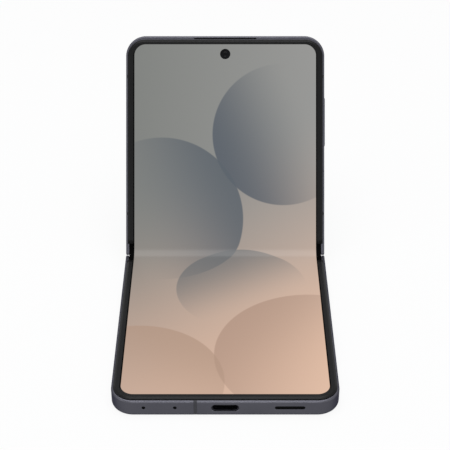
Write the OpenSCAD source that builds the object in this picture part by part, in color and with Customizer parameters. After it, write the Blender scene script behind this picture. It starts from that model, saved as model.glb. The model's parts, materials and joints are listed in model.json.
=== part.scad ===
// Folding phone: two flat halves on a geared two-axis hinge, drawn part way open.
// Row frame: X runs along the hinge, the lower half lies on its back along Y, and Z is up.
// The origin is the centre of the lower half's back. Each half is drawn flat in a frame of
// its own, where Y is the distance from the hinge's centre line and Z rises from the back.

/* [Body] */
// Width across the flanks
body_w = 75.2; // [72:0.1:80]
// Length of one half, from the hinge's centre line to its end
half_l = 83.35; // [80:0.05:90]
// Thickness of one half, from its back to its screen
half_t = 6.5; // [6.4:0.05:7.2]
// Radius of the body's outer corners
corner_r = 7.6; // [6:0.1:10]
// Thickness of the frame's wall
wall = 1.9; // [1.7:0.05:2.2]
// Radius of the frame's edge at the screen side
front_round = 0.45; // [0.2:0.05:0.7]
// Radius of the frame's edge at the back
back_round = 0.6; // [0.3:0.05:0.8]
// How far the frame's lip lies below the screen
lip_drop = 0.45; // [0.35:0.05:0.6]

/* [Screen] */
// Thickness of the folding screen
panel_t = 0.5; // [0.4:0.05:0.6]
// Thickness of the metal plate that backs the screen
backplate_t = 0.25; // [0.15:0.05:0.3]
// Black margin between the body's flank and the lit screen
side_margin = 3.2; // [2.6:0.1:4]
// Black margin between the upper half's end and the lit screen
top_margin = 3.07; // [2.6:0.01:4]
// Black margin between the lower half's end and the lit screen
bottom_margin = 3.35; // [2.6:0.05:4]
// Corner radius of the lit screen
screen_r = 4.4; // [3:0.1:6]
// Distance of the screen's cut edge from the flank
panel_side = 1.4; // [1.35:0.05:1.8]
// Distance of the screen's cut edge from the end
panel_end = 1.7; // [1.5:0.05:2]
// Screen length from the centre line that bends freely
fold_reach = 6.2; // [6:0.1:6.6]
// Thickness of each piece's clearance on the screen's edge
panel_gap = 0.05; // [0.03:0.01:0.1]

/* [Bezel] */
// Distance of the raised rim from the flank
bezel_side = 0.83; // [0.7:0.01:1]
// Distance of the raised rim from the end
bezel_end = 1.4; // [1.3:0.05:1.6]
// Height of the raised rim above the screen
bezel_rise = 0.2; // [0.1:0.05:0.25]
// Distance of the rim's cut end from the hinge's centre line
bezel_start = 5.7; // [5.2:0.1:6]

/* [Hinge] */
// Angle by which the halves are folded at rest, 0 is flat
fold_angle = 56.3; // [0:0.1:90]
// Distance between the two fold axes
axis_gap = 4.2; // [4:0.05:4.4]
// Depth of the fold axes below the screen
axis_depth = 1.75; // [1.7:0.05:1.9]
// Outer radius of the hinge spine
spine_r = 4.25; // [4.2:0.05:4.3]
// Clearance of the spine in the halves
spine_gap = 0.15; // [0.1:0.05:0.2]
// Thickness of the spine's sheet
spine_t = 0.6; // [0.5:0.05:0.7]
// Thickness of the frame's wall beside the spine
hinge_wall = 1.2; // [1:0.05:1.4]
// Clearance between the spine's ends and the frame
spine_side_gap = 0.1; // [0.05:0.05:0.2]
// Thickness of each spine cap
spine_cap_t = 0.7; // [0.5:0.1:1]
// How far the spine's open edges lie below the fold axes
spine_edge_drop = 0.2; // [0.1:0.05:0.3]
// Distance of the frame's cut ends from the centre line
frame_start = 0.29; // [0.2:0.01:0.6]
// Radius on the frame's cut ends at the flank
frame_edge_r = 0.4; // [0.2:0.05:1.1]
// Radius of the hinge shafts
shaft_r = 0.55; // [0.5:0.05:0.6]
// Running clearance of a shaft in its bore
bore_gap = 0.05; // [0.02:0.01:0.08]
// Clearance of the shafts in the friction clips
clip_gap = 0.02; // [0.01:0.01:0.04]
// Wall of metal round a shaft
boss_wall = 0.55; // [0.4:0.05:0.6]

/* [Hinge modules] */
// Distance between the spine's cap and the first bracket cheek
bracket_inset = 0.8; // [0.5:0.1:1.2]
// Clearance between the brackets and the spine's sheet
bracket_gap = 0.05; // [0.02:0.01:0.1]
// Thickness of the brackets' base
bracket_base_t = 0.7; // [0.5:0.05:0.8]
// Thickness of each bracket cheek
cheek_t = 1.2; // [1:0.1:1.4]
// Face width of the gears
gear_w = 2.6; // [2:0.1:3]
// Width of each hinge arm
arm_w = 5; // [4:0.1:6]
// Length of each friction clip along its shaft
clip_w = 3; // [2:0.1:4]
// Width of the slot between a clip's two jaws
clip_slot = 1; // [0.6:0.1:1.2]
// Width of the slit under each shaft in a clip
clip_slit = 0.2; // [0.1:0.05:0.3]
// Side clearance between the hinge's pieces
side_gap = 0.2; // [0.15:0.05:0.3]
// Distance of an arm's end from the centre line
arm_reach = 11; // [10:0.1:11.5]
// Thickness of an arm's blade
arm_t = 0.6; // [0.5:0.05:0.7]
// Height of an arm's underside above the fold axis
arm_rise = 0.1; // [0.05:0.05:0.15]
// Distance of the first arm screw from the centre line
arm_screw_start = 7.8; // [7.7:0.1:8]
// Distance between an arm's two screws
arm_screw_pitch = 2.2; // [2:0.1:2.4]
// Clearance between the turning spine's room and the middle plate's shelf
shelf_gap = 0.5; // [0.3:0.05:0.6]
// Thickness of the web that joins the shelf to the middle plate
web_t = 0.8; // [0.6:0.1:1]
// Thickness of the middle plate's shelf under the arms
shelf_t = 0.6; // [0.5:0.05:0.7]

/* [Gears] */
// Teeth on each gear
teeth = 12; // [10:2:14]
// Size of the teeth, as pitch diameter over tooth count
gear_module = 0.16; // [0.15:0.01:0.16]
// Pressure angle of the teeth
pressure_angle = 25; // [22:1:27]
// Play between two meshed flanks
backlash = 0.05; // [0.03:0.01:0.08]
// Radius of the idler gears' pins
idler_pin_r = 0.3; // [0.25:0.05:0.35]

/* [Support plates] */
// Distance of a plate's inner edge from the centre line
plate_start = 3.4; // [3.3:0.1:4]
// Distance of a plate's pivot from the centre line
plate_pivot = 12; // [11.8:0.1:12.4]
// Thickness of a support plate
plate_t = 0.4; // [0.3:0.05:0.45]
// Clearance between a support plate and the screen
plate_gap = 0.05; // [0.03:0.01:0.1]
// Clearance between a support plate and its neighbours at the sides
plate_side_gap = 0.35; // [0.3:0.05:0.5]
// Tilt of a plate for each degree of fold
plate_ratio = 0.0722; // [0.06:0.0001:0.08]

/* [Inside] */
// Thickness of the back covers
cover_t = 0.6; // [0.4:0.05:0.7]
// Width of the frame's rim round a back cover
cover_rim = 0.9; // [0.8:0.05:1]
// Clearance round a back cover
cover_gap = 0.05; // [0.03:0.01:0.1]
// Thickness of the middle plate
midplate_t = 0.65; // [0.5:0.05:0.7]
// Thickness of the circuit boards
board_t = 0.8; // [0.6:0.1:1]
// Distance of the batteries and boards from the hinge's centre line
inside_start = 16; // [15:0.1:18]
// Clearance between the inner parts and the frame
edge_gap = 0.8; // [0.5:0.05:1]
// Clearance between neighbouring inner parts
part_gap = 1.2; // [0.8:0.1:1.5]
// Clearance above and below the inner parts
layer_gap = 0.1; // [0.05:0.05:0.15]
// Thickness of the lower battery
battery_t = 3.9; // [3.5:0.1:4]
// Width of the upper battery
upper_battery_w = 38; // [34:1:40]
// Length of the sub board
sub_board_l = 19.5; // [17:0.5:22]
// Length of the chips
chip_l = 8; // [5:0.5:9]
// Width of the chips
chip_w = 5; // [3:0.5:6]
// Thickness of the chips
chip_t = 1; // [0.6:0.1:1.2]
// Length of the main board between the upper battery and the cameras
board_strip_l = 8.5; // [7:0.5:9]
// Thickness of the cover screen
cover_screen_t = 0.7; // [0.5:0.05:0.8]
// Width of the haptic motor
haptic_w = 5.8; // [5:0.1:6]
// Length of the haptic motor
haptic_l = 14; // [10:0.5:16]
// Thickness of the haptic motor
haptic_t = 3.5; // [3:0.1:3.8]
// Turns of the charging coil
coil_turns = 8; // [5:1:10]
// Steps per turn of the coil's outline
coil_steps = 48; // [36:12:72]
// Distance between the coil's turns
coil_pitch = 1.3; // [1.2:0.1:1.5]
// Width of the coil's wire
coil_wire_w = 0.8; // [0.6:0.1:0.9]
// Thickness of the coil's wire
coil_wire_t = 0.08; // [0.06:0.01:0.09]
// Outer radius of the charging coil
coil_r = 20; // [17:0.5:21]
// Radius of the small screws
screw_r = 0.6; // [0.5:0.05:0.7]
// Radius of the small screws' heads
screw_head_r = 0.95; // [0.8:0.05:1]
// Thickness of the small screws' heads
screw_head_t = 0.3; // [0.2:0.05:0.4]

/* [Ports] */
// Height of the ports above the back
port_z = 3.25; // [3:0.05:3.4]
// Width of the connector's shell
usb_w = 8.94; // [8.9:0.01:9]
// Height of the connector's shell
usb_h = 3.16; // [3.1:0.01:3.2]
// Thickness of the connector's shell
usb_wall = 0.3; // [0.2:0.05:0.35]
// Depth of the connector
usb_depth = 7.3; // [6.5:0.1:8]
// Width of the connector's tongue
tongue_w = 6.7; // [6.6:0.01:6.8]
// Thickness of the connector's tongue
tongue_t = 0.7; // [0.6:0.05:0.8]
// How far the tongue stays behind the shell's mouth
tongue_setback = 1.2; // [1:0.1:1.5]
// Height of the tongue's base
tongue_base_h = 2.4; // [2:0.1:2.5]
// Length of the tongue's base
tongue_base_l = 1; // [0.8:0.1:1.4]
// How far the connector's shell is set back from the end
usb_recess = 0.5; // [0.2:0.1:0.8]
// Clearance round the connector in the frame
usb_gap = 0.06; // [0.05:0.01:0.1]
// Distance of the speaker slot's middle from the flank
speaker_side = 16.5; // [15:0.1:18]
// Length of the speaker slot
speaker_w = 9.9; // [8:0.1:11]
// Height of the speaker slot
speaker_h = 1; // [0.8:0.1:1.4]
// Width of the speaker module
speaker_box_w = 20; // [18:0.5:22]
// Overlap of the speaker's mesh round its slot
mesh_lap = 0.5; // [0.3:0.1:0.6]
// Thickness of the speaker's mesh
mesh_t = 1.2; // [0.6:0.1:1.2]
// Distance of the outer bottom microphone from the flank
mic_side = 11; // [10:0.1:13]
// Distance between the two bottom microphones
mic_pitch = 10.2; // [9:0.1:11]
// Distance of the top microphone from the middle
mic_top_x = 9.6; // [8:0.1:11]
// Width of a microphone's can
mic_can_w = 3.6; // [3:0.1:4]
// Length of a microphone's can
mic_can_l = 2.4; // [2:0.1:3]
// Thickness of a microphone's can
mic_can_t = 1; // [0.8:0.1:1.1]
// Distance of the bottom antenna line from the middle
antenna_bottom_x = 9.75; // [8:0.05:12]
// Distance of the inner antenna lines from the centre line
antenna_inner_y = 16; // [14:0.5:18]
// Distance of the outer antenna lines from the half's end
antenna_outer_y = 15.3; // [14:0.1:17]
// Radius of the microphone holes
mic_r = 0.6; // [0.4:0.05:0.7]
// Width of the antenna lines
antenna_w = 1.15; // [0.8:0.05:1.4]
// Depth of the antenna lines into the wall
antenna_depth = 1.3; // [1:0.05:1.3]
// Length of the earpiece slot
earpiece_w = 23.6; // [20:0.1:26]
// Width of the earpiece slot
earpiece_h = 0.5; // [0.4:0.05:0.55]
// Distance of the earpiece slot from the end
earpiece_inset = 0.65; // [0.6:0.05:0.75]
// Depth of the earpiece slot below the screen's backing
earpiece_depth = 1.2; // [0.8:0.1:1.6]
// Width of the earpiece
earpiece_box_w = 16; // [12:0.5:18]
// Length of the earpiece
earpiece_box_l = 1.8; // [1.5:0.1:1.9]
// Height of the earpiece
earpiece_box_h = 2.4; // [2:0.1:2.8]

/* [Keys] */
// Place of the volume key's middle, as a share of the half's length
volume_share = 0.6107; // [0.58:0.0001:0.62]
// Length of the volume key
volume_l = 18.4; // [16:0.1:20]
// How far the volume key stands out
volume_rise = 0.32; // [0.25:0.01:0.4]
// Place of the side key's middle, as a share of the half's length
side_key_share = 0.3215; // [0.31:0.0001:0.33]
// Length of the side key
side_key_l = 13.1; // [11:0.1:14]
// How far the side key stands out
side_key_rise = 0.13; // [0.05:0.01:0.3]
// Height of both keys
key_h = 2; // [1.8:0.1:2.2]
// Clearance round a key
key_gap = 0.1; // [0.08:0.01:0.15]
// Travel of a key
key_travel = 0.25; // [0.2:0.01:0.3]
// Thickness of a key's collar
key_collar_t = 0.4; // [0.3:0.05:0.5]
// Clearance between a key's collar and the frame
key_seat_gap = 0.05; // [0.03:0.01:0.1]
// How far a key's collar reaches past its cap
key_collar_lap = 0.4; // [0.3:0.05:0.5]
// Depth of a key switch
switch_t = 1.2; // [1:0.1:1.4]
// Length of a key switch along the flank
switch_l = 3.2; // [2.5:0.1:4]

/* [Card tray] */
// Distance between the card tray and the outer antenna line
tray_antenna_gap = 3.975; // [2:0.005:5]
// Length of the tray's head along the flank
tray_head_l = 15; // [14:0.1:16]
// Height of the tray's head
tray_head_h = 2; // [1.8:0.1:2.2]
// How far the tray reaches into the body
tray_depth = 13; // [12:0.1:14]
// Thickness of the tray's frame
tray_t = 0.9; // [0.8:0.05:1]
// How far the tray's head reaches past the tray at each end
tray_shoulder = 0.6; // [0.4:0.1:1]
// Thickness of the tray's head
tray_head_t = 1.2; // [1:0.1:1.5]
// Width of the tray's rim behind the card
tray_rim = 1.2; // [0.8:0.1:1.4]
// Radius of the hole for the eject pin
eject_r = 0.45; // [0.4:0.05:0.5]
// Clearance between the card socket and the frame and shield cans
socket_gap = 0.3; // [0.2:0.1:0.5]
// Length of the card's pocket along the flank
card_l = 12.4; // [12.3:0.1:12.6]
// Width of the card's pocket
card_w = 8.9; // [8.8:0.1:9.2]
// Clearance round the tray
tray_gap = 0.12; // [0.08:0.01:0.15]
// Thickness of the card socket's sheet
socket_t = 0.3; // [0.2:0.05:0.35]

/* [Cameras] */
// Radius of a rear camera's ring
camera_ring_r = 6.3; // [5.5:0.1:6.8]
// Distance of the first rear camera from the right flank
camera_side = 10.5; // [9:0.1:12]
// Distance of the rear cameras from the end
camera_end = 10.5; // [9:0.1:12]
// Distance between the rear cameras
camera_pitch = 15.5; // [14.5:0.1:17]
// Height of the camera rings above the cover glass
camera_rise = 1; // [0.6:0.1:1.4]
// Radius of the glass in a rear camera's ring
camera_glass_r = 4.9; // [4.4:0.1:5.2]
// Thickness of the glass in a rear camera's ring
camera_glass_t = 0.5; // [0.4:0.1:0.6]
// Step on a camera ring where it passes the cover glass
camera_ring_step = 0.6; // [0.4:0.1:0.8]
// How far a camera ring reaches into the body
camera_ring_h = 1.6; // [1:0.1:2]
// How far the camera glass lies below its ring's rim
camera_glass_inset = 0.15; // [0.1:0.05:0.3]
// Clearance round the camera glass
camera_glass_gap = 0.02; // [0.01:0.01:0.05]
// Radius of a rear camera's barrel
camera_barrel_r = 4.2; // [3.8:0.1:4.5]
// Length of a rear camera's barrel above the cover screen's layer
camera_neck = 1; // [0.8:0.1:1.2]
// Side of a rear camera's square base
camera_base_w = 10.4; // [9.6:0.1:11]
// Radius of the flash
flash_r = 1.8; // [1.5:0.1:2]
// Thickness of the flash
flash_t = 1.4; // [1:0.1:1.6]
// Distance of the flash from the second camera
flash_pitch = 11.6; // [10:0.1:13]
// Radius of the hole in the screen for the front camera
front_camera_r = 1.95; // [1.7:0.05:2.2]
// Distance of the front camera from the end
front_camera_end = 6.9; // [6.5:0.1:7.5]
// Radius of the front camera's body
front_camera_body_r = 2.7; // [2.4:0.1:2.9]
// Clearance round the front camera
front_camera_gap = 0.15; // [0.1:0.05:0.2]

/* [Hidden] */
$fn = 48;
cut = 0.01;

metal = "#5c5c62";
dark_metal = "#46464b";
bright_metal = "#a9abb0";
black = "#1b1b1d";
screen_black = "#101113";
board_green = "#22422f";
cell_grey = "#77797d";
copper = "#b0713c";
glass_black = "#17181b";

// heights above a half's back
lip_z = half_t - lip_drop;
panel_z = half_t - panel_t;
backplate_z = panel_z - backplate_t;
midplate_z = backplate_z - midplate_t;
bezel_z = half_t + bezel_rise;
axis_z = half_t - axis_depth;
axis_y = axis_gap / 2;
cavity_r = spine_r + spine_gap;
cavity_end = axis_y + cavity_r;
arm_z = axis_z + arm_rise;
plate_z = panel_z - plate_gap - plate_t;
shelf_start = cavity_end + shelf_gap;
midplate_start = plate_pivot + plate_side_gap;
spine_l = body_w - 2 * (hinge_wall + spine_side_gap);
cavity_half_w = body_w / 2 - hinge_wall;
inner_half_w = body_w / 2 - wall;
fold_half = fold_angle / 2;
plate_tilt = fold_half * plate_ratio;

// the hinge modules, measured outwards from the body's middle
module_end = spine_l / 2 - spine_cap_t - bracket_inset;
cheek_1 = module_end - cheek_t;
gear_x = cheek_1 - side_gap - gear_w;
cheek_2 = gear_x - side_gap - cheek_t;
arm_x = cheek_2 - side_gap - arm_w;
cheek_3 = arm_x - side_gap - cheek_t;
clip_x = cheek_3 - side_gap - clip_w;
module_start = clip_x;
boss_r = shaft_r + boss_wall;
shell_top = axis_z - spine_edge_drop;
shell_in_r = spine_r - spine_t;
bracket_r = shell_in_r - bracket_gap;
bracket_z = axis_z - bracket_r;
bracket_top = bracket_z + bracket_base_t;

// gears
pitch_r = gear_module * teeth / 2;
tip_r = pitch_r + 0.8 * gear_module;
root_r = pitch_r - 1.05 * gear_module;
base_r = pitch_r * cos(pressure_angle);
tooth_pitch = 360 / teeth;
idler_y = pitch_r;
idler_z = axis_z - sqrt(4 * pitch_r * pitch_r - (axis_y - idler_y) * (axis_y - idler_y));
mesh_angle = atan2(idler_z - axis_z, axis_y - idler_y);
phase_1 = 2 * mesh_angle + 180 + tooth_pitch / 2;
phase_2 = 180 - phase_1 + tooth_pitch / 2;
phase_b = -2 * mesh_angle + 180 - phase_2 + tooth_pitch / 2;

// inside layout
end_inner = half_l - wall;
key_z = port_z;
volume_y = volume_share * half_l;
side_key_y = side_key_share * half_l;
speaker_x = body_w / 2 - speaker_side;
mic_outer_x = body_w / 2 - mic_side;
mic_inner_x = mic_outer_x - mic_pitch;
arm_screw_y = [arm_screw_start, arm_screw_start + arm_screw_pitch];
antenna_side_y = [antenna_inner_y, half_l - antenna_outer_y];
bottom_mic_x = [-mic_outer_x, -mic_inner_x];
side_x = inner_half_w - edge_gap;
sub_board_y = end_inner - edge_gap / 2 - sub_board_l;
sub_board_z = port_z - usb_h / 2 - board_t;
lower_battery_w = 2 * (side_x - haptic_w - part_gap);
lower_battery_l = sub_board_y - part_gap - inside_start;
camera_x = body_w / 2 - camera_side;
camera_y = half_l - camera_end;
camera_edge = camera_y - camera_ring_r - part_gap;
front_camera_y = half_l - front_camera_end;
upper_battery_x = side_x - switch_t - key_travel - part_gap / 2 - upper_battery_w;
upper_battery_l = camera_edge - board_strip_l - inside_start;
inside_z = cover_t + cover_screen_t + layer_gap;
board_right = upper_battery_x - part_gap;
board_top = inside_start + upper_battery_l + part_gap;
socket_z = key_z - tray_t / 2 - tray_gap - socket_t;
board_z = socket_z - board_t;
can_h = midplate_z - layer_gap - socket_z;
tray_x = -body_w / 2;
tray_y = antenna_side_y[1] - antenna_w / 2 - tray_antenna_gap - tray_head_l / 2;
tray_half_l = tray_head_l / 2 - tray_shoulder;

// ---- placing ----

// moves the hinge's centre line so that the origin is the lower half's middle
module in_row() {
    translate([0, half_l / 2, 0]) children();
}

module on_lower() {
    in_row() mirror([0, 1, 0]) children();
}

module on_spine() {
    in_row() translate([0, -axis_y, axis_z]) rotate([fold_half, 0, 0])
        translate([0, axis_y, -axis_z]) children();
}

module on_upper() {
    on_spine() translate([0, axis_y, axis_z]) rotate([fold_half, 0, 0])
        translate([0, -axis_y, -axis_z]) children();
}

// a second copy mirrored across the body's middle
module both_sides() {
    children();
    mirror([1, 0, 0]) children();
}

// trims inner parts to the frame's round inner corners
module trim_inside() {
    inset = wall + edge_gap / 4;
    intersection() {
        linear_extrude(half_t) half_outline(inset, inset, corner_r - inset, 0);
        union() children();
    }
}

// a solid with its section in the YZ plane, from x0 to x1
module across(x0, x1) {
    translate([x0, 0, 0]) rotate([90, 0, 90]) linear_extrude(x1 - x0) children();
}

module block(low, high) {
    translate(low) cube([high[0] - low[0], high[1] - low[1], high[2] - low[2]]);
}

// ---- outlines of one half ----

// a plate outline with two round corners at the half's end
module half_outline(side, end, r, start) {
    w = body_w / 2 - side;
    y1 = half_l - end;
    translate([-w, start]) square([2 * w, y1 - r - start]);
    translate([-w + r, start]) square([2 * (w - r), y1 - start]);
    for (s = [-1, 1]) translate([s * (w - r), y1 - r]) circle(r, $fn = 96);
}

// a hole outline that is open towards the hinge
module lit_outline(end) {
    half_outline(side_margin, end, screen_r, 0);
}

// section of the frame's wall: X inwards from the outer face, Y up from the back
module wall_section() {
    difference() {
        square([wall, lip_z]);
        translate([cover_rim, -cut]) square([wall, cover_t + cut]);
        translate([panel_side - 0.1, backplate_z]) square([wall, lip_z]);
        difference() {
            translate([-cut, -cut]) square(back_round + cut);
            translate([back_round, back_round]) circle(back_round);
        }
        difference() {
            translate([-cut, lip_z - front_round]) square(front_round + cut);
            translate([front_round, lip_z - front_round]) circle(front_round);
        }
    }
}

module frame_ring() {
    y1 = half_l - corner_r;
    x1 = body_w / 2 - corner_r;
    both_sides() translate([body_w / 2, y1, 0]) rotate([90, 0, 0])
        linear_extrude(y1 - frame_start) mirror([1, 0]) wall_section();
    translate([-x1, half_l, 0]) rotate([90, 0, 90]) linear_extrude(2 * x1)
        mirror([1, 0]) wall_section();
    both_sides() translate([x1, y1, 0]) rotate_extrude(angle = 90, $fn = 96)
        translate([corner_r, 0]) mirror([1, 0]) wall_section();
}

// room for the turning spine: its cylinder, and everything between it and the hinge
module spine_cavity(half_w) {
    across(-half_w, half_w) {
        translate([axis_y, axis_z]) circle(cavity_r, $fn = 96);
        translate([-cavity_r, axis_z - cavity_r])
            square([cavity_r + axis_y, half_t + cavity_r]);
        translate([axis_y, axis_z]) square([cavity_r, half_t]);
    }
}

// rounds the frame's cut ends at the flank
module frame_edge_cut() {
    x = body_w / 2 - frame_edge_r;
    both_sides() translate([x, frame_start, -1]) linear_extrude(half_t + 2) difference() {
        translate([0, -1]) square([frame_edge_r + 1, frame_edge_r + 1]);
        translate([0, frame_edge_r]) circle(frame_edge_r);
    }
}

// rounds the frame's cut ends about the fold axis, so that the halves keep their distance
module frame_end_cut() {
    across(-body_w, body_w) difference() {
        translate([0, axis_z]) square([axis_y, half_t]);
        translate([axis_y, axis_z]) circle(axis_y - frame_start, $fn = 96);
    }
}

// slots in the outer wall for the antenna lines
module antenna_slots(side_y, end_x) {
    w = antenna_w / 2;
    for (y = side_y) both_sides()
        block([body_w / 2 - antenna_depth, y - w, -1], [body_w, y + w, half_t]);
    for (x = end_x)
        block([x - w, half_l - antenna_depth, -1], [x + w, half_l + 1, half_t]);
}

module half_frame(side_y, end_x) {
    difference() {
        frame_ring();
        spine_cavity(cavity_half_w);
        frame_end_cut();
        frame_edge_cut();
        antenna_slots(side_y, end_x);
    }
}

module antenna_lines(side_y, end_x) {
    intersection() {
        frame_ring();
        antenna_slots(side_y, end_x);
    }
}

// ---- shared pieces of a half ----

module midplate() {
    difference() {
        union() {
            translate([0, 0, midplate_z]) linear_extrude(midplate_t)
                half_outline(wall, wall, corner_r - wall, midplate_start);
            block([-inner_half_w, shelf_start, arm_z - shelf_t],
                [inner_half_w, midplate_start + web_t, arm_z]);
            block([-inner_half_w, midplate_start, arm_z - shelf_t],
                [inner_half_w, midplate_start + web_t, midplate_z + midplate_t]);
        }
        both_sides() for (y = arm_screw_y)
            translate([arm_x + arm_w / 2, y, arm_z - 2 * shelf_t])
                cylinder(r = screw_r, h = 4 * shelf_t);
    }
}

module back_plate() {
    inset = cover_rim + cover_gap;
    difference() {
        linear_extrude(cover_t) half_outline(inset, inset, corner_r - inset, 0.1);
        spine_cavity(body_w);
    }
}

module panel(start) {
    translate([0, 0, panel_z]) linear_extrude(panel_t)
        half_outline(panel_side, panel_end, corner_r - panel_end, start);
}

module backplate() {
    translate([0, 0, backplate_z]) linear_extrude(backplate_t)
        half_outline(panel_side + panel_gap, panel_end + panel_gap, corner_r - panel_end,
            midplate_start);
}

module bezel(end_margin) {
    difference() {
        translate([0, 0, lip_z]) linear_extrude(bezel_z - lip_z)
            half_outline(bezel_side, bezel_end, corner_r - bezel_end, bezel_start);
        translate([0, 0, lip_z - 1]) linear_extrude(half_t - lip_z + 1)
            half_outline(panel_side - panel_gap, panel_end - panel_gap,
                corner_r - panel_end + panel_gap, 0);
        translate([0, 0, lip_z - 1]) linear_extrude(3) lit_outline(end_margin);
    }
}

// small countersunk screw: its head on top at z = 0 and its shank below
module screw(length) {
    translate([0, 0, -length]) cylinder(r = screw_r, h = length);
    cylinder(r = screw_head_r, h = screw_head_t);
}

// ---- hinge ----

module arm() {
    across(arm_x, arm_x + arm_w) difference() {
        union() {
            translate([axis_y, axis_z]) circle(boss_r);
            translate([axis_y, arm_z]) square([arm_reach - axis_y, arm_t]);
        }
        translate([axis_y, axis_z]) circle(shaft_r);
    }
}

module arms() {
    difference() {
        both_sides() arm();
        both_sides() for (y = arm_screw_y)
            translate([arm_x + arm_w / 2, y, arm_z - arm_t]) cylinder(r = screw_r, h = 4 * arm_t);
    }
}

module arm_screws() {
    both_sides() for (y = arm_screw_y)
        translate([arm_x + arm_w / 2, y, arm_z + arm_t]) screw(arm_t + shelf_t);
}

module shafts() {
    both_sides() across(module_start, module_end + bracket_inset / 2)
        translate([axis_y, axis_z]) circle(shaft_r);
}

function involute_angle(a) = tan(a) * 180 / PI - a;
function flank_angle(r) = (PI * gear_module / 2 - backlash / 2) / 2 / pitch_r * 180 / PI
    + involute_angle(pressure_angle) - involute_angle(acos(min(1, base_r / r)));
flank_steps = 4;
function flank_r(i) = base_r + (tip_r - base_r) * i / flank_steps;
function gear_points() = [for (t = [0 : teeth - 1]) each concat(
    [[root_r, t * tooth_pitch - flank_angle(base_r)]],
    [for (i = [0 : flank_steps]) [flank_r(i), t * tooth_pitch - flank_angle(flank_r(i))]],
    [for (i = [flank_steps : -1 : 0]) [flank_r(i), t * tooth_pitch + flank_angle(flank_r(i))]],
    [[root_r, t * tooth_pitch + flank_angle(base_r)]])];

// a gear's outline turned so that one tooth points along phase
module gear(phase, bore) {
    rotate(phase) difference() {
        polygon([for (p = gear_points()) p[0] * [cos(p[1]), sin(p[1])]]);
        circle(bore);
    }
}

// the gears are drawn in the spine's frame, where they mesh at rest
module sync_gear(y, phase) {
    both_sides() across(gear_x, gear_x + gear_w) translate([y, axis_z]) gear(phase, shaft_r);
}

module idler_gear(y, phase) {
    both_sides() {
        across(gear_x, gear_x + gear_w) translate([y, idler_z]) gear(phase, idler_pin_r);
        across(cheek_2 + bracket_gap, cheek_1 + cheek_t - bracket_gap)
            translate([y, idler_z]) circle(idler_pin_r);
    }
}

module stadium(r) {
    for (s = [-1, 1]) translate([s * axis_y, axis_z]) circle(r, $fn = 96);
    translate([-axis_y, axis_z - r]) square([2 * axis_y, 2 * r]);
}

module half_stadium(r, top) {
    intersection() {
        stadium(r);
        translate([-axis_y - r, axis_z - 2 * r]) square([2 * (axis_y + r), top - axis_z + 2 * r]);
    }
}

module cheek_outline(idler_bores) {
    difference() {
        union() {
            half_stadium(bracket_r, shell_top);
            for (s = [-1, 1]) translate([s * axis_y, axis_z]) circle(boss_r);
        }
        for (s = [-1, 1]) translate([s * axis_y, axis_z]) circle(shaft_r + bore_gap);
        if (idler_bores) for (s = [-1, 1])
            translate([s * idler_y, idler_z]) circle(idler_pin_r + bore_gap);
    }
}

module support_plate() {
    notch_x = module_start - plate_side_gap;
    notch_end = arm_reach + plate_side_gap;
    w = inner_half_w - hinge_wall - plate_side_gap;
    translate([0, plate_pivot, plate_z + plate_t / 2]) rotate([plate_tilt, 0, 0])
        translate([0, -plate_pivot, -plate_z - plate_t / 2]) {
            difference() {
                block([-w, plate_start, plate_z], [w, plate_pivot, plate_z + plate_t]);
                both_sides() block([notch_x, plate_start - 1, plate_z - 1],
                    [w + 1, notch_end, plate_z + 2]);
            }
            across(-w, w) translate([plate_pivot, plate_z + plate_t / 2]) circle(plate_t / 2);
        }
}

// The free screen between the bonded half and the crease. It is flat down to twice the fold
// axis' distance from the centre line, and then follows an arc that starts level and reaches
// the crease at half the fold. Its points are measured by their chord from the arc's start.
arc_start = 2 * axis_y;
arc_chord = 2 * (axis_y * cos(fold_half / 2) - axis_depth * sin(fold_half / 2));
arc_steps = 14;
function chord_share(s) = fold_half < 0.01 ? s : sin(s * fold_half / 2) / sin(fold_half / 2);
function arc_point(z, s) = let(a = s * fold_half, chord = arc_chord * chord_share(s)) [
    arc_start - chord * cos(a / 2) - (half_t - z) * sin(a),
    half_t + chord * sin(a / 2) - (half_t - z) * cos(a)];
function arc_line(z, order) = [for (i = order) arc_point(z, i / arc_steps)];

// section of the bent strip, in the half's own frame
module fold_strip() {
    across(-body_w / 2 + panel_side, body_w / 2 - panel_side)
        polygon(concat([[fold_reach, panel_z]], arc_line(panel_z, [0 : arc_steps]),
            arc_line(half_t, [arc_steps : -1 : 0]), [[fold_reach, half_t]]));
}

// ==== lower half ====

module slot_hole(w, h, depth) {
    r = h / 2;
    rotate([-90, 0, 0]) linear_extrude(depth) {
        square([w - h, h], center = true);
        for (s = [-1, 1]) translate([s * (w - h) / 2, 0]) circle(r);
    }
}

module lower_frame() {
    color(metal) on_lower() difference() {
        half_frame(antenna_side_y, [-antenna_bottom_x]);
        translate([0, end_inner - 1, port_z])
            slot_hole(usb_w + 2 * usb_gap, usb_h + 2 * usb_gap, wall + 2);
        translate([speaker_x, end_inner - 1, port_z]) slot_hole(speaker_w, speaker_h, wall + 2);
        for (x = bottom_mic_x) translate([x, end_inner - 1, port_z]) rotate([-90, 0, 0])
            cylinder(r = mic_r, h = wall + 2);
    }
}

module lower_midplate() {
    color(bright_metal) on_lower() midplate();
}

module lower_back_cover() {
    color(dark_metal) on_lower() back_plate();
}

module lower_bezel() {
    color(black) on_lower() bezel(bottom_margin);
}

module lower_display_panel() {
    color(screen_black) on_lower() panel(fold_reach);
}

module lower_display_backplate() {
    color(bright_metal) on_lower() backplate();
}

module lower_battery() {
    z = cover_t + layer_gap;
    y1 = inside_start + lower_battery_l;
    color(cell_grey) on_lower() {
        block([-lower_battery_w / 2, inside_start, z], [lower_battery_w / 2, y1, z + battery_t]);
        block([-chip_l, y1, sub_board_z], [chip_l, sub_board_y, sub_board_z + board_t]);
    }
}

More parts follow.
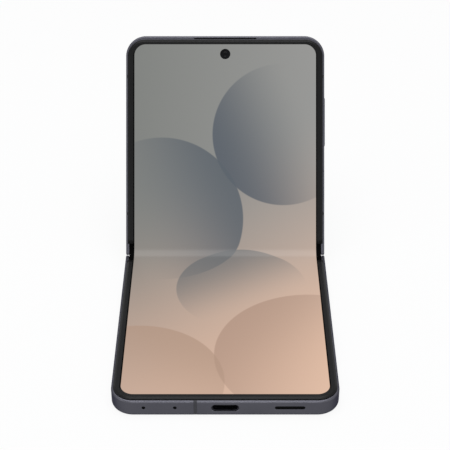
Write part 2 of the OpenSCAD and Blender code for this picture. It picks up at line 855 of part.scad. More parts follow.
// point on the coil's spiral after i steps, at r from the middle in the first turn
function coil_point(i, r) = (r - coil_pitch * i / coil_steps)
    * [cos(360 * i / coil_steps), sin(360 * i / coil_steps)];

// one flat spiral of wire that lies on the back cover
module charging_coil() {
    n = coil_turns * coil_steps;
    color(copper) on_lower() translate([0, inside_start + lower_battery_l / 2, cover_t])
        linear_extrude(coil_wire_t) polygon(concat(
            [for (i = [0 : n]) coil_point(i, coil_r)],
            [for (i = [n : -1 : 0]) coil_point(i, coil_r - coil_wire_w)]));
}

module sub_board() {
    top = sub_board_z + board_t;
    right = side_x - speaker_box_w - part_gap;
    color(board_green) on_lower() trim_inside() {
        difference() {
            block([-side_x, sub_board_y, sub_board_z], [right, sub_board_y + sub_board_l, top]);
            for (x = bottom_mic_x)
                translate([x, end_inner - mic_can_l / 2 - edge_gap / 2, sub_board_z - board_t])
                    cylinder(r = mic_r, h = 3 * board_t);
        }
        for (x = [-side_x + chip_w, -side_x + 2 * chip_w + chip_l])
            block([x, sub_board_y + part_gap, top],
                [x + chip_l, sub_board_y + part_gap + chip_w, top + chip_t]);
    }
}

module usb_c_shell() {
    r = usb_h / 2;
    y0 = half_l - usb_recess - usb_depth;
    color(bright_metal) on_lower() translate([0, y0, port_z]) difference() {
        slot_hole(usb_w, usb_h, usb_depth);
        translate([0, usb_wall, 0])
            slot_hole(usb_w - 2 * usb_wall, usb_h - 2 * usb_wall, usb_depth);
    }
}

module usb_c_tongue() {
    y0 = half_l - usb_recess - usb_depth + usb_wall;
    color(black) on_lower() {
        block([-tongue_w / 2, y0, port_z - tongue_t / 2],
            [tongue_w / 2, y0 + usb_depth - tongue_setback, port_z + tongue_t / 2]);
        block([-tongue_w / 2, y0, port_z - tongue_base_h / 2],
            [tongue_w / 2, y0 + tongue_base_l, port_z + tongue_base_h / 2]);
    }
}

module speaker_module() {
    color(black) on_lower() difference() {
        trim_inside() block([side_x - speaker_box_w, sub_board_y, cover_t + layer_gap],
            [side_x, end_inner - mesh_t, midplate_z - layer_gap]);
        translate([speaker_x, end_inner - 3 * mesh_t, port_z])
            slot_hole(speaker_w, speaker_h, 3 * mesh_t);
    }
}

module speaker_mesh() {
    color(black) on_lower() translate([speaker_x, end_inner - mesh_t, port_z])
        slot_hole(speaker_w + 2 * mesh_lap, speaker_h + 2 * mesh_lap, mesh_t);
}

module haptic_motor() {
    z = cover_t + layer_gap;
    color(bright_metal) on_lower() block([side_x - haptic_w, inside_start, z],
        [side_x, inside_start + haptic_l, z + haptic_t]);
}

// a microphone's can behind its hole, on top of what carries it
module mic_can(x, z) {
    y1 = end_inner - edge_gap / 2;
    block([x - mic_can_w / 2, y1 - mic_can_l, z], [x + mic_can_w / 2, y1, z + mic_can_t]);
}

module bottom_microphones() {
    color(bright_metal) on_lower() for (x = bottom_mic_x) mic_can(x, sub_board_z + board_t);
}

module lower_antenna_lines() {
    color(cell_grey) on_lower() antenna_lines(antenna_side_y, [-antenna_bottom_x]);
}

module lower_screws() {
    color(bright_metal) on_lower() arm_screws();
}

module lower_hinge_arms() {
    color(bright_metal) on_lower() arms();
}

module lower_hinge_shafts() {
    color(dark_metal) on_lower() shafts();
}

module lower_sync_gears() {
    color(bright_metal) on_spine() sync_gear(-axis_y, 0);
}

module lower_support_plate() {
    color(bright_metal) on_lower() support_plate();
}

// ==== hinge spine ====

module spine_cover() {
    color(metal) on_spine() across(-spine_l / 2 + spine_cap_t, spine_l / 2 - spine_cap_t)
        difference() {
            half_stadium(spine_r, shell_top);
            stadium(shell_in_r);
        }
}

module spine_end_caps() {
    color(black) on_spine() both_sides() across(spine_l / 2 - spine_cap_t, spine_l / 2) {
        half_stadium(spine_r, shell_top);
        for (s = [-1, 1]) translate([s * axis_y, axis_z]) circle(boss_r);
    }
}

module hinge_brackets() {
    color(dark_metal) on_spine() both_sides() {
        for (x = [cheek_1, cheek_2]) across(x, x + cheek_t) cheek_outline(true);
        across(cheek_3, cheek_3 + cheek_t) cheek_outline(false);
        block([module_start, -axis_y, bracket_z], [module_end, axis_y, bracket_top]);
    }
}

module hinge_friction_clips() {
    color(bright_metal) on_spine() both_sides() across(clip_x, clip_x + clip_w) difference() {
        union() {
            for (s = [-1, 1]) translate([s * axis_y, axis_z]) circle(boss_r);
            translate([-axis_y - boss_r, bracket_top])
                square([2 * (axis_y + boss_r), axis_z - bracket_top]);
        }
        for (s = [-1, 1]) translate([s * axis_y, axis_z]) circle(shaft_r + clip_gap);
        translate([-clip_slot / 2, bracket_top + bracket_base_t]) square([clip_slot, axis_z]);
        for (s = [-1, 1]) translate([s * axis_y - clip_slit / 2, axis_z - 2 * boss_r])
            square([clip_slit, 2 * boss_r]);
    }
}

module lower_display_fold() {
    color(screen_black) on_lower() fold_strip();
}

module upper_display_fold() {
    color(screen_black) on_upper() fold_strip();
}

module lower_idler_gears() {
    color(bright_metal) on_spine() idler_gear(-idler_y, phase_1);
}

module upper_idler_gears() {
    color(bright_metal) on_spine() idler_gear(idler_y, phase_2);
}

// ==== upper half ====

module upper_support_plate() {
    color(bright_metal) on_upper() support_plate();
}

module upper_sync_gears() {
    color(bright_metal) on_spine() sync_gear(axis_y, phase_b);
}

module upper_hinge_shafts() {
    color(dark_metal) on_upper() shafts();
}

module upper_hinge_arms() {
    color(bright_metal) on_upper() arms();
}

module upper_screws() {
    color(bright_metal) on_upper() arm_screws();
}

// a flat-sided slot through the flank for a key or the card tray, at the +X side
module flank_slot(y, l, h, z, grow) {
    translate([body_w / 2 - wall - 1, y, z]) rotate([0, 90, 0]) linear_extrude(wall + 3) {
        square([h + 2 * grow, l - h], center = true);
        for (s = [-1, 1]) translate([0, s * (l - h) / 2]) circle(h / 2 + grow);
    }
}

module upper_frame() {
    color(metal) on_upper() difference() {
        half_frame(antenna_side_y, []);
        flank_slot(volume_y, volume_l, key_h, key_z, key_gap);
        flank_slot(side_key_y, side_key_l, key_h, key_z, key_gap);
        mirror([1, 0, 0]) flank_slot(tray_y, tray_head_l, tray_head_h, key_z, tray_gap);
        block([-earpiece_w / 2, half_l - earpiece_inset - earpiece_h, backplate_z - earpiece_depth],
            [earpiece_w / 2, half_l - earpiece_inset, half_t]);
        translate([-mic_top_x, end_inner - 1, port_z + mic_can_t]) rotate([-90, 0, 0])
            cylinder(r = mic_r, h = wall + 2);
    }
}

module upper_midplate() {
    color(bright_metal) on_upper() difference() {
        midplate();
        front_camera_hole(front_camera_body_r + front_camera_gap);
    }
}

function camera_at(i) = [camera_x - i * camera_pitch, camera_y, 0];
function flash_at() = camera_at(1) - [flash_pitch, 0, 0];

module cover_glass() {
    color(glass_black) on_upper() difference() {
        back_plate();
        for (i = [0, 1]) translate(camera_at(i) - [0, 0, cover_t])
            cylinder(r = camera_ring_r - camera_ring_step + cover_gap, h = 3 * cover_t, $fn = 96);
        translate(flash_at() - [0, 0, cover_t]) cylinder(r = flash_r + cover_gap, h = 3 * cover_t);
    }
}

// the small screen behind the cover glass, cut away round the cameras
module cover_display_panel() {
    inset = wall + edge_gap;
    color(screen_black) on_upper() difference() {
        translate([0, 0, cover_t]) linear_extrude(cover_screen_t)
            half_outline(inset, inset, corner_r - inset, shelf_start);
        block([flash_at()[0] - flash_r - part_gap, camera_edge, 0], [body_w, half_l, half_t]);
    }
}

module upper_bezel() {
    color(black) on_upper() bezel(top_margin);
}

module front_camera_hole(r) {
    translate([0, front_camera_y, board_z]) cylinder(r = r, h = half_t);
}

module upper_display_panel() {
    color(screen_black) on_upper() difference() {
        panel(fold_reach);
        front_camera_hole(front_camera_r);
    }
}

module upper_display_backplate() {
    color(bright_metal) on_upper() difference() {
        backplate();
        front_camera_hole(front_camera_body_r + front_camera_gap);
    }
}

module upper_battery() {
    y1 = inside_start + upper_battery_l;
    color(cell_grey) on_upper() {
        block([upper_battery_x, inside_start, inside_z],
            [upper_battery_x + upper_battery_w, y1, midplate_z - layer_gap]);
        block([upper_battery_x + chip_l, y1, board_z], [upper_battery_x + 2 * chip_l, board_top, socket_z]);
    }
}

// the board lies beside the battery, under the card socket, and passes the cameras
module main_board() {
    color(board_green) on_upper() difference() {
        trim_inside() {
            block([-side_x, inside_start, board_z],
                [board_right, end_inner - earpiece_box_l - part_gap - edge_gap, socket_z]);
            block([board_right - part_gap, board_top, board_z],
                [side_x - switch_t - part_gap, camera_edge, socket_z]);
        }
        front_camera_hole(front_camera_body_r + front_camera_gap);
    }
}

module shield_cans() {
    near = tray_y - tray_half_l - tray_gap - socket_gap;
    can_l = (near - part_gap - inside_start) / 2 - part_gap;
    color(bright_metal) on_upper() {
        for (i = [0, 1]) {
            y = inside_start + part_gap + i * (can_l + part_gap);
            block([-side_x + part_gap, y, socket_z],
                [board_right - part_gap, y + can_l, socket_z + can_h]);
        }
        block([board_right + part_gap, board_top + part_gap / 2, socket_z],
            [side_x - switch_t - 2 * part_gap, camera_edge - part_gap / 2, socket_z + can_h]);
    }
}

module rear_cameras() {
    base = cover_t + cover_screen_t + camera_neck;
    color(black) on_upper() for (i = [0, 1]) translate(camera_at(i)) {
        translate([0, 0, cover_t / 2]) cylinder(r = camera_barrel_r, h = base - cover_t / 2);
        translate([-camera_base_w / 2, -camera_base_w / 2, base])
            cube([camera_base_w, camera_base_w, midplate_z - layer_gap / 2 - base]);
    }
}

module camera_rings() {
    color(dark_metal) on_upper() for (i = [0, 1]) translate(camera_at(i)) difference() {
        union() {
            translate([0, 0, -camera_rise]) cylinder(r = camera_ring_r, h = camera_rise, $fn = 96);
            cylinder(r = camera_ring_r - camera_ring_step, h = camera_ring_h, $fn = 96);
        }
        translate([0, 0, -2 * camera_rise])
            cylinder(r = camera_glass_r, h = 2 * camera_rise + 2 * camera_ring_h, $fn = 96);
    }
}

module camera_glasses() {
    color(glass_black) on_upper() for (i = [0, 1]) translate(camera_at(i) - [0, 0, camera_rise])
        translate([0, 0, camera_glass_inset])
            cylinder(r = camera_glass_r - camera_glass_gap, h = camera_glass_t, $fn = 96);
}

module flash_led() {
    color("#e8e2c8") on_upper() translate(flash_at()) cylinder(r = flash_r, h = flash_t);
}

module front_camera() {
    color(black) on_upper() translate([0, front_camera_y, 0]) {
        translate([0, 0, board_z]) cylinder(r = front_camera_body_r, h = backplate_z - board_z);
        translate([0, 0, midplate_z]) cylinder(r = front_camera_r - front_camera_gap,
            h = half_t - backplate_t - midplate_z);
    }
}

module earpiece() {
    y1 = end_inner - edge_gap / 2;
    color(black) on_upper() block([-earpiece_box_w / 2, y1 - earpiece_box_l, inside_z],
        [earpiece_box_w / 2, y1, inside_z + earpiece_box_h]);
}

module earpiece_mesh() {
    color(black) on_upper()
        block([-earpiece_w / 2, half_l - earpiece_inset - earpiece_h, backplate_z - earpiece_depth],
            [earpiece_w / 2, half_l - earpiece_inset, lip_z - layer_gap]);
}

module top_microphones() {
    color(bright_metal) on_upper() mic_can(-mic_top_x, inside_z + earpiece_box_h + layer_gap);
}

module card_tray() {
    color(metal) on_upper() difference() {
        union() {
            intersection() {
                mirror([1, 0, 0]) flank_slot(tray_y, tray_head_l, tray_head_h, key_z, 0);
                block([tray_x, 0, 0], [tray_x + tray_head_t, half_l, half_t]);
            }
            block([tray_x + tray_head_t / 2, tray_y - tray_half_l, key_z - tray_t / 2],
                [tray_x + tray_depth, tray_y + tray_half_l, key_z + tray_t / 2]);
        }
        block([tray_x + tray_depth - tray_rim - card_w, tray_y - card_l / 2, key_z - tray_t / 4],
            [tray_x + tray_depth - tray_rim, tray_y + card_l / 2, key_z + tray_t]);
        translate([tray_x - tray_head_t, tray_y + tray_half_l - eject_r, key_z])
            rotate([0, 90, 0]) cylinder(r = eject_r, h = 2 * tray_head_t);
    }
}

module card_socket() {
    x0 = tray_x + wall + socket_gap;
    x1 = tray_x + tray_depth + 2 * socket_gap;
    w = tray_half_l + tray_gap;
    h = tray_t / 2 + tray_gap;
    color(bright_metal) on_upper() difference() {
        block([x0, tray_y - w - socket_t, socket_z], [x1, tray_y + w + socket_t, key_z + h + socket_t]);
        block([x0 - socket_t, tray_y - w, key_z - h], [x1 - socket_t, tray_y + w, key_z + h]);
    }
}

module key(y, l, rise) {
    x_in = inner_half_w - key_seat_gap;
    intersection() {
        flank_slot(y, l, key_h, key_z, 0);
        block([x_in, 0, 0], [body_w / 2 + rise, half_l, half_t]);
    }
    block([x_in - key_collar_t, y - l / 2 - key_collar_lap, key_z - key_h / 2 - key_collar_lap],
        [x_in, y + l / 2 + key_collar_lap, key_z + key_h / 2 + key_collar_lap]);
}

module volume_key() {
    color(metal) on_upper() key(volume_y, volume_l, volume_rise);
}

module side_key() {
    color(metal) on_upper() key(side_key_y, side_key_l, side_key_rise);
}

module key_switches() {
    x1 = inner_half_w - 2 * key_seat_gap - key_collar_t - key_travel;
    color(bright_metal) on_upper()
        for (y = [volume_y - volume_l / 4, volume_y + volume_l / 4, side_key_y])
            block([x1 - switch_t, y - switch_l / 2, key_z - key_h / 2],
                [x1, y + switch_l / 2, key_z + key_h / 2]);
}

module upper_antenna_lines() {
    color(cell_grey) on_upper() antenna_lines(antenna_side_y, []);
}

lower_frame();
lower_midplate();
lower_back_cover();
lower_bezel();
lower_display_panel();
lower_display_backplate();
lower_battery();
charging_coil();
sub_board();
usb_c_shell();
usb_c_tongue();
speaker_module();
speaker_mesh();
haptic_motor();
bottom_microphones();
lower_antenna_lines();
lower_screws();
lower_hinge_arms();
lower_hinge_shafts();
lower_sync_gears();
lower_support_plate();
lower_idler_gears();
spine_cover();
spine_end_caps();
hinge_brackets();
hinge_friction_clips();
lower_display_fold();
upper_display_fold();
upper_idler_gears();
upper_support_plate();
upper_sync_gears();
upper_hinge_shafts();
upper_hinge_arms();
upper_screws();
upper_frame();
upper_midplate();
cover_glass();
cover_display_panel();
upper_bezel();
upper_display_panel();
upper_display_backplate();
upper_battery();
main_board();
shield_cans();
rear_cameras();
camera_rings();
camera_glasses();
flash_led();
front_camera();
earpiece();
earpiece_mesh();
top_microphones();
card_socket();
card_tray();
key_switches();
volume_key();
side_key();
upper_antenna_lines();
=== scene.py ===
# %% [markdown]
# # A folding phone, dressed for its picture
# The CAD part already holds every solid and every joint. This lesson keeps those solids where
# their shape is right, and lays finer surfaces over the ones the eye rests on: the frame, the
# soft rim, the folding screen, the keys, the port and the cameras. Lengths are in millimetres
# until the last step of each shape, which turns them into metres of the part's own frame.

import json
import math

import bpy
import mathutils
import numpy as np
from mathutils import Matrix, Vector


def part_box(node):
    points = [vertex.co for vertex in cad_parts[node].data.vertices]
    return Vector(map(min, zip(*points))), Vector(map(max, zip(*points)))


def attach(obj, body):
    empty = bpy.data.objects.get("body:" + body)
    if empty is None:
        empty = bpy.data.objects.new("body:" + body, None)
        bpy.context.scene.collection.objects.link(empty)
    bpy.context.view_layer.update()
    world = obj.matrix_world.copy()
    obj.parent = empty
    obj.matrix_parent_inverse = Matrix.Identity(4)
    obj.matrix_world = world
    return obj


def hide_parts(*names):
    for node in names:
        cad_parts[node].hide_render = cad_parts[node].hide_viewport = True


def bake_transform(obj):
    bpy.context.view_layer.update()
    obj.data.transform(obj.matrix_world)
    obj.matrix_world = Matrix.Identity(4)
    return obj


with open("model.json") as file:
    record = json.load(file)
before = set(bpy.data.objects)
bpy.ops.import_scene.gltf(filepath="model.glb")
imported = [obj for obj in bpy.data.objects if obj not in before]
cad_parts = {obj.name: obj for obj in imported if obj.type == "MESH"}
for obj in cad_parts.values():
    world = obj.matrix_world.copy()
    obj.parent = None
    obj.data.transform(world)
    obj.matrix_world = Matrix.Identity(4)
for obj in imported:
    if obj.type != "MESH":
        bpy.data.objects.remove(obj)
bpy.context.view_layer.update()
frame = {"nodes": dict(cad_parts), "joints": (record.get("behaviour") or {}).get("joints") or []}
joints = {j["name"]: j for j in frame["joints"]}
print("CAD nodes:", len(frame["nodes"]), "joints:", len(joints))

# %% [markdown]
# ## Measures and places
# The phone is two equal halves on a hinge with two axes. Each half is easiest to draw lying
# flat: x across, u away from the hinge line, z up from the back. The two axes come with the
# frame, so the fold angle is read from them and never typed again.

# %% Sizes of one half
MM = 0.001
frame_low, frame_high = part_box("lower_frame")
BODY_W = (frame_high.x - frame_low.x) / MM
HINGE_Y = -frame_low.y / MM
HALF_L = 2 * HINGE_Y
HALF_T, LIP = 6.5, 6.05  # heights of the screen and of the metal's front edge over the back
CORNER = 7.6  # radius of the outline at the corners of the end
AXIS_LOWER = np.array(joints["fold_lower"]["pos_m"]) / MM
AXIS_UPPER = np.array(joints["fold_upper"]["pos_m"]) / MM
AXIS_U = HINGE_Y - AXIS_LOWER[1]
AXIS_Z = AXIS_LOWER[2]
HALF_FOLD = math.atan2(AXIS_UPPER[2] - AXIS_LOWER[2], AXIS_UPPER[1] - AXIS_LOWER[1])
print(f"half {BODY_W:.1f} x {HALF_L:.2f} mm, folded by {math.degrees(2 * HALF_FOLD):.1f} degrees")

# %% [markdown]
# Each shape is drawn flat and moved once, at its end, by one function. That keeps both halves
# alike, as they are on the real phone, and leaves the objects themselves at the origin.

# %% Put a half's points into the part's frame
def place(points, half):
    """Turns flat (x, u, z) in mm into metres of the part's frame. The lower half is mirrored
    along Y about the hinge line; the upper half turns about its axis by the whole fold."""
    x, u, z = np.moveaxis(np.asarray(points, float), -1, 0)
    u, z = u - AXIS_U, z - AXIS_Z
    if half == "lower":
        y, h = AXIS_LOWER[1] - u, AXIS_LOWER[2] + z
    else:
        c, s = math.cos(2 * HALF_FOLD), math.sin(2 * HALF_FOLD)
        y, h = AXIS_UPPER[1] + u * c - z * s, AXIS_UPPER[2] + u * s + z * c
    return np.stack([x, y, h], -1) * MM


print("upper half's end, in mm:", np.round(place((0, HALF_L, HALF_T), "upper") / MM, 1))

# %% [markdown]
# ## From a grid of points to a closed solid
# Nearly every shape here is a ring of points carried along a path, which fills a grid: one
# row for each step of the path. Two such neighbours make a quad. The ends are closed with one
# face each, and the signed volume tells whether the faces look outwards.

# %% Build a mesh from a grid
def signed_volume(points, faces):
    """Sum over the faces' fan triangles of a . (b x c) / 6: above 0 if they look outwards."""
    total = 0.0
    for size in sorted({len(f) for f in faces}):
        group = np.array([f for f in faces if len(f) == size])
        a = points[group[:, 0]]
        for k in range(1, size - 1):
            total += np.einsum("ij,ij->", a, np.cross(points[group[:, k]], points[group[:, k + 1]]))
    return total / 6


def ring_faces(rows, ring, closed=False):
    """Quads between each row and the next; each row is a closed ring, numbered row by row."""
    r = np.arange(rows if closed else rows - 1)[:, None]
    c = np.arange(ring)[None, :]
    a, b = r * ring + c, r * ring + (c + 1) % ring
    n = (r + 1) % rows
    quads = np.stack([a, b, n * ring + (c + 1) % ring, n * ring + c], -1).reshape(-1, 4)
    faces = [tuple(q) for q in quads.tolist()]
    if not closed:
        faces += [tuple(range(ring))[::-1], tuple(range((rows - 1) * ring, rows * ring))]
    return faces


print("two rows of four points close into", len(ring_faces(2, 4)), "faces")

# %% [markdown]
# The faces are turned round as a whole if the volume comes out below zero. Shading is smooth,
# as the surfaces are, except where two faces meet at an angle that the eye reads as an edge.

# %% Make an object of the grid
SMOOTH, SMOOTH_SCREEN = 32, 60  # degrees up to which faces are shaded as one round


def soften(obj, degrees):
    """Smooth shading with a hard edge wherever two faces meet by more than so many degrees."""
    obj.data.polygons.foreach_set("use_smooth", np.ones(len(obj.data.polygons), bool))
    obj.data.set_sharp_from_angle(angle=math.radians(degrees))


def solid(name, grid, closed=False, uv=None, smooth=SMOOTH):
    """An object from a grid (rows, ring, 3) in metres. uv holds one pair per grid point."""
    rows, ring = grid.shape[:2]
    points = grid.reshape(-1, 3)
    faces = ring_faces(rows, ring, closed)
    if signed_volume(points, faces) < 0:
        faces = [f[::-1] for f in faces]
    mesh = bpy.data.meshes.new(name)
    mesh.from_pydata(points, [], faces)
    if uv is not None:
        index = np.zeros(len(mesh.loops), np.int32)
        mesh.loops.foreach_get("vertex_index", index)
        mesh.uv_layers.new(name="flat").data.foreach_set(
            "uv", uv.reshape(-1, 2)[index].astype(np.float32).ravel())
    obj = bpy.data.objects.new(name, mesh)
    bpy.context.scene.collection.objects.link(obj)
    soften(obj, smooth)
    return obj


print("faces that meet at up to", SMOOTH, "degrees are shaded as one round")

# %% [markdown]
# Openings are cut as they are on the machine: a solid of the cutter's shape is taken away from
# the piece. The exact boolean keeps the edges clean. A finished piece then gets its material
# and the body it moves with, and the CAD nodes that it stands for are hidden.

# %% Cut, join and hand over pieces
def carve(obj, cutters, how="DIFFERENCE", smooth=SMOOTH):
    """Cuts obj with each of the other objects, keeps the result as its mesh and drops them."""
    for cutter in cutters:
        step = obj.modifiers.new("cut", "BOOLEAN")
        step.operation, step.solver, step.object = how, "EXACT", cutter
    bpy.context.view_layer.update()
    cut = bpy.data.meshes.new_from_object(obj.evaluated_get(bpy.context.evaluated_depsgraph_get()))
    obj.modifiers.clear()
    cut.name = obj.name
    obj.data = cut
    for cutter in cutters:
        bpy.data.objects.remove(cutter)
    soften(obj, smooth)
    return obj


def joined(name, parts):
    """Several separate solids as one object."""
    bpy.ops.object.select_all(action="DESELECT")
    for part in parts:
        part.select_set(True)
    bpy.context.view_layer.objects.active = parts[0]
    bpy.ops.object.join()
    parts[0].name = parts[0].data.name = name
    parts[0].select_set(False)
    return parts[0]


def finish_piece(obj, material, body, slot, *nodes):
    """Gives a piece its material and the body it rides on, and hides the nodes it stands for. slot is
    not used.
    """
    obj.data.materials.clear()
    obj.data.materials.append(material)
    if body:
        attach(obj, body)
    if nodes:
        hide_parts(*nodes)
    print(f"{obj.name}: {len(obj.data.polygons)} faces")
    return obj


# %% [markdown]
# ## Colours and nodes
# Colours are written as they look on a screen and turned to linear light by one function. All
# materials are built from the same small helper, which adds one node, sets it and links it.

# %% Colour and node helpers
def srgb(code):
    """A hex colour as linear RGBA: c / 12.92 when dark, else ((c + 0.055) / 1.055) ** 2.4."""
    c = np.array([int(code[i:i + 2], 16) for i in (1, 3, 5)]) / 255
    return (*np.where(c < 0.04045, c / 12.92, ((c + 0.055) / 1.055) ** 2.4), 1.0)


def add(tree, kind, inputs=None, **settings):
    """Adds one node. An input takes a value, or the output socket of another node."""
    made = tree.nodes.new(kind)
    for key, value in settings.items():
        setattr(made, key, value)
    for key, value in (inputs or {}).items():
        if isinstance(value, bpy.types.NodeSocket):
            tree.links.new(value, made.inputs[key])
        else:
            made.inputs[key].default_value = value
    return made


def surface(name, **values):
    """A material with one principled shader, whose steady values are set on its own sockets.
    A keyword is the socket's name in small letters: specular_ior_level is Specular IOR Level."""
    material = bpy.data.materials.new(name)
    material.use_nodes = True
    shader = material.node_tree.nodes["Principled BSDF"]
    for key, value in values.items():
        shader.inputs[key.replace("_", " ").title().replace("Ior", "IOR")].default_value = value
    return material, material.node_tree, shader


print("a grey of #808080 is", round(float(srgb("#808080")[0]), 3), "in linear light")

# %% [markdown]
# No real finish has one flat colour and a perfect surface. Here it drifts between two close
# colours in wide clouds, and fine lumps lift it. Both are noise, at a size in real millimetres.

# %% Patterns of a finish
NOISE_LOW, NOISE_HIGH = 0.3, 0.7  # the noise seldom leaves this range, which becomes 0 to 1


def grain(tree, size_mm, stretch=(1, 1, 1)):
    """Noise from 0 to 1 whose lumps are size_mm wide. stretch below 1 draws the lumps out
    along that axis, and above 1 squeezes them."""
    where = add(tree, "ShaderNodeTexCoord").outputs["Object"]
    turned = add(tree, "ShaderNodeMapping", {"Vector": where, "Scale": stretch}).outputs[0]
    noise = add(tree, "ShaderNodeTexNoise",
                {"Vector": turned, "Scale": 1 / (size_mm * MM), "Detail": 3.0}).outputs[0]
    return add(tree, "ShaderNodeMapRange", {"Value": noise, "From Min": NOISE_LOW,
                                            "From Max": NOISE_HIGH}).outputs[0]


def skin(tree, shader, dark, light, drift, bumps=None, depth_mm=0.0):
    """Ties patterns from 0 to 1 to a shader: its base colour goes from dark to light with
    drift, and its surface rises by depth_mm with bumps."""
    colour = add(tree, "ShaderNodeMix", {"Factor": drift, "A": srgb(dark), "B": srgb(light)},
                 data_type="RGBA")
    tree.links.new(colour.outputs["Result"], shader.inputs["Base Color"])
    if bumps:
        bump = add(tree, "ShaderNodeBump", {"Height": bumps, "Distance": depth_mm * MM,
                                            "Strength": 1.0})
        tree.links.new(bump.outputs[0], shader.inputs["Normal"])


print("patterns: drift of colour, and grain of the surface")

# %% [markdown]
# ## Metals
# The frame is extruded aluminium, machined, blasted with fine beads and anodised in a dark
# grey. The blasting is what gives it a soft, even sheen: pits of a twentieth of a millimetre,
# drawn here five times as wide so that they survive in the picture. The grinding and rolling
# lines of the other metals are as fine, and are drawn coarser too. Hidden metal is bare.

# %% Anodised, machined and rolled metals
METAL_DRIFT = 14


def metal(name, dark, light, roughness, grit_mm, depth_mm, spread=0.06, stretch=(1, 1, 1),
          edge="#ffffff"):
    """A metal whose pits or lines are grain of grit_mm: they rise by depth_mm, and they move
    the roughness by spread to either side. edge tints what it mirrors at grazing angles."""
    material, tree, shader = surface(name, metallic=1.0, specular_tint=srgb(edge))
    pits = grain(tree, grit_mm, stretch)
    skin(tree, shader, dark, light, grain(tree, METAL_DRIFT), pits, depth_mm)
    rough = add(tree, "ShaderNodeMapRange", {"Value": pits, "To Min": roughness - spread,
                                             "To Max": roughness + spread}).outputs[0]
    tree.links.new(rough, shader.inputs["Roughness"])
    return material


# Blasted and dyed: an even dark sheen that stays soft where the metal turns away.
anodised = metal("anodised aluminium, bead blasted", "#4d4d54", "#53535a", 0.40, 0.25, 0.004,
                 edge="#98989e")
# Blasted more lightly: the spine is a little darker and gleams a little more.
spine_anodised = metal("anodised aluminium, satin", "#45454a", "#4b4b50", 0.36, 0.25, 0.003,
                       edge="#98989e")
# Milled and left bare: pale, with the cutter's lines along one direction.
machined = metal("machined aluminium", "#c6c8cb", "#d2d4d6", 0.34, 0.5, 0.006, stretch=(0.1, 1, 1))
# Ground lengthwise: fine lines that draw a highlight out into a streak.
ground_steel = metal("hardened ground steel", "#a8a9ab", "#b6b7b9", 0.26, 0.4, 0.003,
                     stretch=(0.15, 1, 1))
# Rolled into strip: the same straight lines, with a duller gleam.
spring = metal("rolled spring steel", "#b0b1b2", "#bdbebf", 0.30, 0.5, 0.003, stretch=(0.1, 1, 1))
# Dipped in tin: even and bright, with soft clouds and no direction.
tinned = metal("tinned steel sheet", "#b9bbbd", "#c9cbcc", 0.32, 0.9, 0.004)
# Steel with the shade deep in the port painted into its colour as a near black; its mouth keeps a
# dull gleam.
steel_dark_for_port_shade = metal("steel painted with the port's shade", "#303036", "#37373d", 0.55, 0.4, 0.002)
# Laminated foil round a cell: broad soft wrinkles that break up what it mirrors.
pouch = metal("pouch cell foil", "#8e9094", "#a3a5a8", 0.42, 3.0, 0.02, spread=0.1)
# Flat-laid wire: warm and glossy, roughened by small lumps as its turns roughen it.
wound_copper = metal("wound copper", "#b0713c", "#c88a52", 0.30, 0.8, 0.02, stretch=(1, 1, 4))
print("metals made")

# %% [markdown]
# ## Plastics, rubber and boards
# The rim round the screen is a soft black elastomer, moulded with a very fine satin texture.
# Other black pieces are moulded glass-filled nylon. The antenna lines are the same nylon,
# coloured to match the anodised metal that they cut through. The texture of a mould is a few
# hundredths of a millimetre wide, so it too is drawn coarser, a quarter to half a millimetre.

# %% Moulded and coated finishes
PLASTIC_DRIFT = 9


def moulded(name, dark, light, roughness, grit_mm, depth_mm, coat=0.0, gloss=0.5):
    """A plastic whose texture is grain of grit_mm that rises by depth_mm. gloss is the
    specular level, and coat a clear layer on top."""
    material, tree, shader = surface(name, roughness=roughness, ior=1.5, coat_weight=coat,
                                     coat_roughness=0.15, specular_ior_level=gloss)
    skin(tree, shader, dark, light, grain(tree, PLASTIC_DRIFT), grain(tree, grit_mm), depth_mm)
    return material


# A rubber with a satin skin: black where it faces the room, grey where it mirrors the lamp.
elastomer = moulded("moulded elastomer", "#09090a", "#0d0d0e", 0.36, 0.25, 0.003, gloss=0.135)
# A cloth of wires far too fine to draw: it swallows light, and its bumps are coarser.
acoustic_mesh = moulded("woven acoustic mesh", "#040405", "#09090a", 0.7, 0.15, 0.02, gloss=0.05)
# Ink behind the film: the deepest black of all, with almost no gloss of its own.
border_print = moulded("black border print", "#020202", "#040405", 0.5, 0.5, 0.001, gloss=0.01)
# Moulded with glass fibres in it, which leave a dull black.
black_nylon = moulded("glass-filled nylon", "#0b0b0c", "#101011", 0.55, 0.3, 0.006, gloss=0.12)
# Dark grey, so that the tongue still shows in the depth of the port.
port_nylon = moulded("dark grey nylon", "#2c2c32", "#333339", 0.5, 0.3, 0.004, gloss=0.3)
# The colour of the metal without its mirror, so the lines read as thin dull bands.
antenna_nylon = moulded("grey nylon", "#35353a", "#3a3a3f", 0.5, 0.3, 0.004, gloss=0.15)
# A green lacquer over copper tracks, in soft clouds.
solder_mask = moulded("green solder mask on laminate", "#1d4a30", "#2a5c3c", 0.35, 1.2, 0.01, 0.4)
# A pale yellow powder, which looks wet under its clear dome.
phosphor = moulded("phosphor under clear silicone", "#e6d28a", "#efdf9f", 0.25, 0.3, 0.01, 1.0)
print("plastics made")

# %% [markdown]
# ## Glass
# The back of the lower half is glass etched matt, over dark ink. The cover screen on the other
# half lies behind polished glass, black while it is off. Camera windows are polished too, and
# coated against glare, which leaves a faint blue. All three are drawn as a dark body whose own
# gloss stands for the glass, because nothing behind them can be seen. The pits of the etching
# are finer than they are drawn.

# %% Etched, polished and coated glass
etched_glass, tree, shader = surface("etched glass over grey ink", roughness=0.38, ior=1.52,
                                     specular_ior_level=0.35)
skin(tree, shader, "#3c3c42", "#424248", grain(tree, 20), grain(tree, 0.3), 0.002)

polished_glass, tree, shader = surface("polished glass over a dark screen", roughness=0.05,
                                       ior=1.52, specular_ior_level=0.22)
skin(tree, shader, "#060607", "#09090b", grain(tree, 25))

